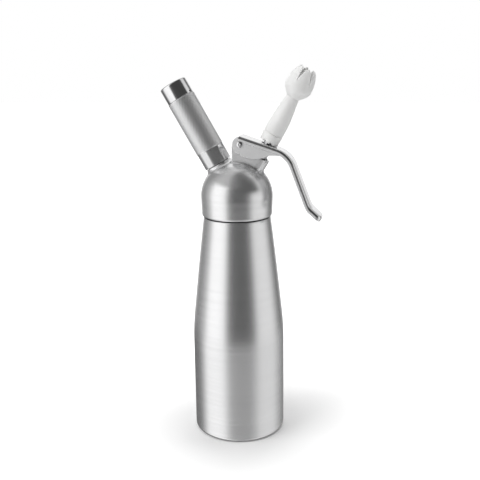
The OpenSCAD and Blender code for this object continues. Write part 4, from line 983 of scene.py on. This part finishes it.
def make_camera():
    """The photograph's camera: 629 mm from the seam, 12.4 degrees above it, looking 14.3 down."""
    az, el, roll = (math.radians(v) for v in (CAMERA_AZIMUTH, CAMERA_ELEVATION, CAMERA_ROLL))
    back = np.array([math.sin(az) * math.cos(el), -math.cos(az) * math.cos(el), math.sin(el)])
    place = np.array([0, 0, SEAM_Z]) + CAMERA_RANGE * back
    pitch = el + math.atan((PHOTO_PX / 2 - SEAM_ROW_PX) / FOCAL_PX)
    ahead = np.array([-math.sin(az) * math.cos(pitch), math.cos(az) * math.cos(pitch), -math.sin(pitch)])
    right = np.array([math.cos(az), math.sin(az), 0.0])
    up = np.cross(right, ahead)
    right, up = (right * math.cos(roll) + up * math.sin(roll),
                 up * math.cos(roll) - right * math.sin(roll))
    data = bpy.data.cameras.new("photo camera")
    data.sensor_width, data.lens = 36.0, 36.0 * FOCAL_PX / PHOTO_PX
    data.shift_x, data.shift_y = SHIFT_X_PX / PHOTO_PX, SHIFT_Y_PX / PHOTO_PX
    data.clip_start, data.clip_end = 0.01, 50
    cam = add_object("photo camera", data)
    m = np.eye(4)
    m[:3] = np.column_stack([right, up, -ahead, place * 0.001])
    cam.matrix_world = Matrix(m.tolist())
    bpy.context.scene.camera = cam


def ramp(tree, value, stops):
    """A grey level that follows value through the stops, given as (value, level)."""
    low, high = stops[0][0], stops[-1][0]
    node = add_node(tree, "ValToRGB", {0: ranged(tree, value, low, high, 0, 1)})
    marks = node.color_ramp.elements
    while len(marks) < len(stops):
        marks.new(0.5)
    for mark, (place, level) in zip(marks, stops):
        mark.position = (place - low) / (high - low)
        mark.color = (level, level, level, 1)
    return node.outputs[0]


# The tent's grey levels against the bearing in degrees, 0 towards the camera and 90 to its right
BACK_LEFT = [(-180, 0.84), (-154, 0.82), (-146, 0.18), (-120, 0.20), (-100, 0.36)]
LEFT_PANEL = [(-94, 0.50), (-85, 0.97), (-60, 1.0), (-37, 0.98), (-30, 0.14)]
BACK_RIGHT = [(154, 0.82), (180, 0.84)]
WALL_TONES = BACK_LEFT + LEFT_PANEL + [
    (-16, 0.06), (30, 0.06), (42, 0.22), (50, 0.70), (98, 0.70), (112, 0.34), (130, 0.10),
    (146, 0.12)] + BACK_RIGHT
MIDDLE_TONES = BACK_LEFT + LEFT_PANEL + [
    (-16, 0.05), (74, 0.05), (84, 0.70), (112, 0.70), (124, 0.20), (138, 0.12), (146, 0.18)] + BACK_RIGHT
HIGH_TONES = BACK_LEFT + [
    (-85, 0.42), (-37, 0.42), (-24, 0.14), (30, 0.05), (74, 0.06), (86, 0.60), (114, 0.60),
    (130, 0.16), (146, 0.30)] + BACK_RIGHT
GROUND_TONES = [
    (-180, 0.12), (-130, 0.10), (-112, 0.16), (-99, 0.55), (-90, 0.88), (-60, 0.90), (-40, 0.88),
    (-28, 0.36), (-16, 0.29), (28, 0.28), (42, 0.42), (54, 0.64), (100, 0.64), (118, 0.40),
    (145, 0.18), (180, 0.30)]
TOP_TONES = [(-180, 0.60), (-140, 0.45), (-85, 0.45), (-45, 0.40), (-20, 0.10), (30, 0.06),
             (70, 0.08), (140, 0.40), (180, 0.60)]
# Each layer takes over from the wall between two heights of the direction, from -1 down to 1 up
LAYERS = ((-0.28, -0.36, GROUND_TONES), (0.12, 0.34, MIDDLE_TONES), (0.50, 0.62, HIGH_TONES),
          (0.84, 0.93, TOP_TONES))


def make_world():
    """A pale studio: white behind for the camera, and for reflections a tent with a bright left
    side, a dark gap towards the front, a grey right side and a dimmer roof."""
    world = bpy.data.worlds.new("studio")
    bpy.context.scene.world = world
    world.use_nodes = True
    tree = world.node_tree
    tree.nodes.clear()
    turn = add_node(tree, "Mapping", {"Vector": add_node(tree, "TexCoord").outputs["Generated"],
                                      "Rotation": (0, 0, math.radians(-CAMERA_AZIMUTH))})
    x, y, z = split_xyz(tree, turn.outputs[0])
    bearing = math_node(tree, "ARCTAN2", x, math_node(tree, "MULTIPLY", y, -1.0))
    degrees = math_node(tree, "MULTIPLY", bearing, math.degrees(1))
    light = ramp(tree, degrees, WALL_TONES)
    for start, end, tones in LAYERS:
        light = blend(tree, ranged(tree, z, start, end, 0, 1), light, ramp(tree, degrees, tones))
    tent = add_node(tree, "Background", {"Color": light, "Strength": 1.1})
    white = add_node(tree, "Background", {"Color": (1, 1, 1, 1)})
    pick = add_node(tree, "MixShader", {0: add_node(tree, "LightPath").outputs["Is Camera Ray"],
                                        1: tent.outputs[0], 2: white.outputs[0]})
    add_node(tree, "OutputWorld", {0: pick.outputs[0]})


def area_light(name, place, size, power):
    """A soft square lamp that points at the head. Metal doesn't mirror it: the tent is its mirror image."""
    data = bpy.data.lights.new(name, "AREA")
    data.shape, data.size, data.energy = "SQUARE", size, power
    lamp = add_object(name, data)
    lamp.location = place
    lamp.rotation_euler = (Vector(place) - Vector((0, 0, 0.17))).to_track_quat("Z", "Y").to_euler()
    lamp.visible_glossy = False


def make_floor():
    """A white floor that also glows for the camera, weakly near the object and strongly from 0.21 m out:
    painted light, so that it fades into the background away from the object's soft shadow.
    """
    half = 4000
    corners = [(-half, -half, 0), (half, -half, 0), (half, half, 0), (-half, half, 0)]
    obj = add_mesh("studio_floor", corners, [np.arange(4)[None, :]])
    m, tree, shader = new_material("studio floor")
    feed(tree, shader, {"Base Color": (0.94, 0.94, 0.94, 1), "Roughness": 0.9, "Specular IOR Level": 0.0})
    x, y, _ = split_xyz(tree, add_node(tree, "TexCoord").outputs["Object"])
    # Painted light: the floor's glow is 0.10 within 0.05 m of the axis and rises to 0.75 at 0.21 m.
    level = ranged(tree, from_axis(tree, x, y), 0.05, 0.21, 0.10, 0.75)
    seen = add_node(tree, "LightPath").outputs["Is Camera Ray"]
    glow = add_node(tree, "Emission", {"Strength": math_node(tree, "MULTIPLY", seen, level)})
    lit = add_node(tree, "AddShader", {0: shader.outputs[0], 1: glow.outputs[0]})
    feed(tree, tree.nodes["Material Output"], {0: lit.outputs[0]})
    obj.data.materials.append(m)
    obj.visible_glossy = False


make_camera()
make_world()
area_light("key from the left", (-0.9, -0.7, 0.9), 0.9, 7)
area_light("roof", (0.1, 0.1, 1.5), 1.4, 9)
area_light("fill from the right", (1.1, -0.6, 0.5), 0.8, 1)
make_floor()

scene = bpy.context.scene
scene.view_settings.view_transform = "Standard"
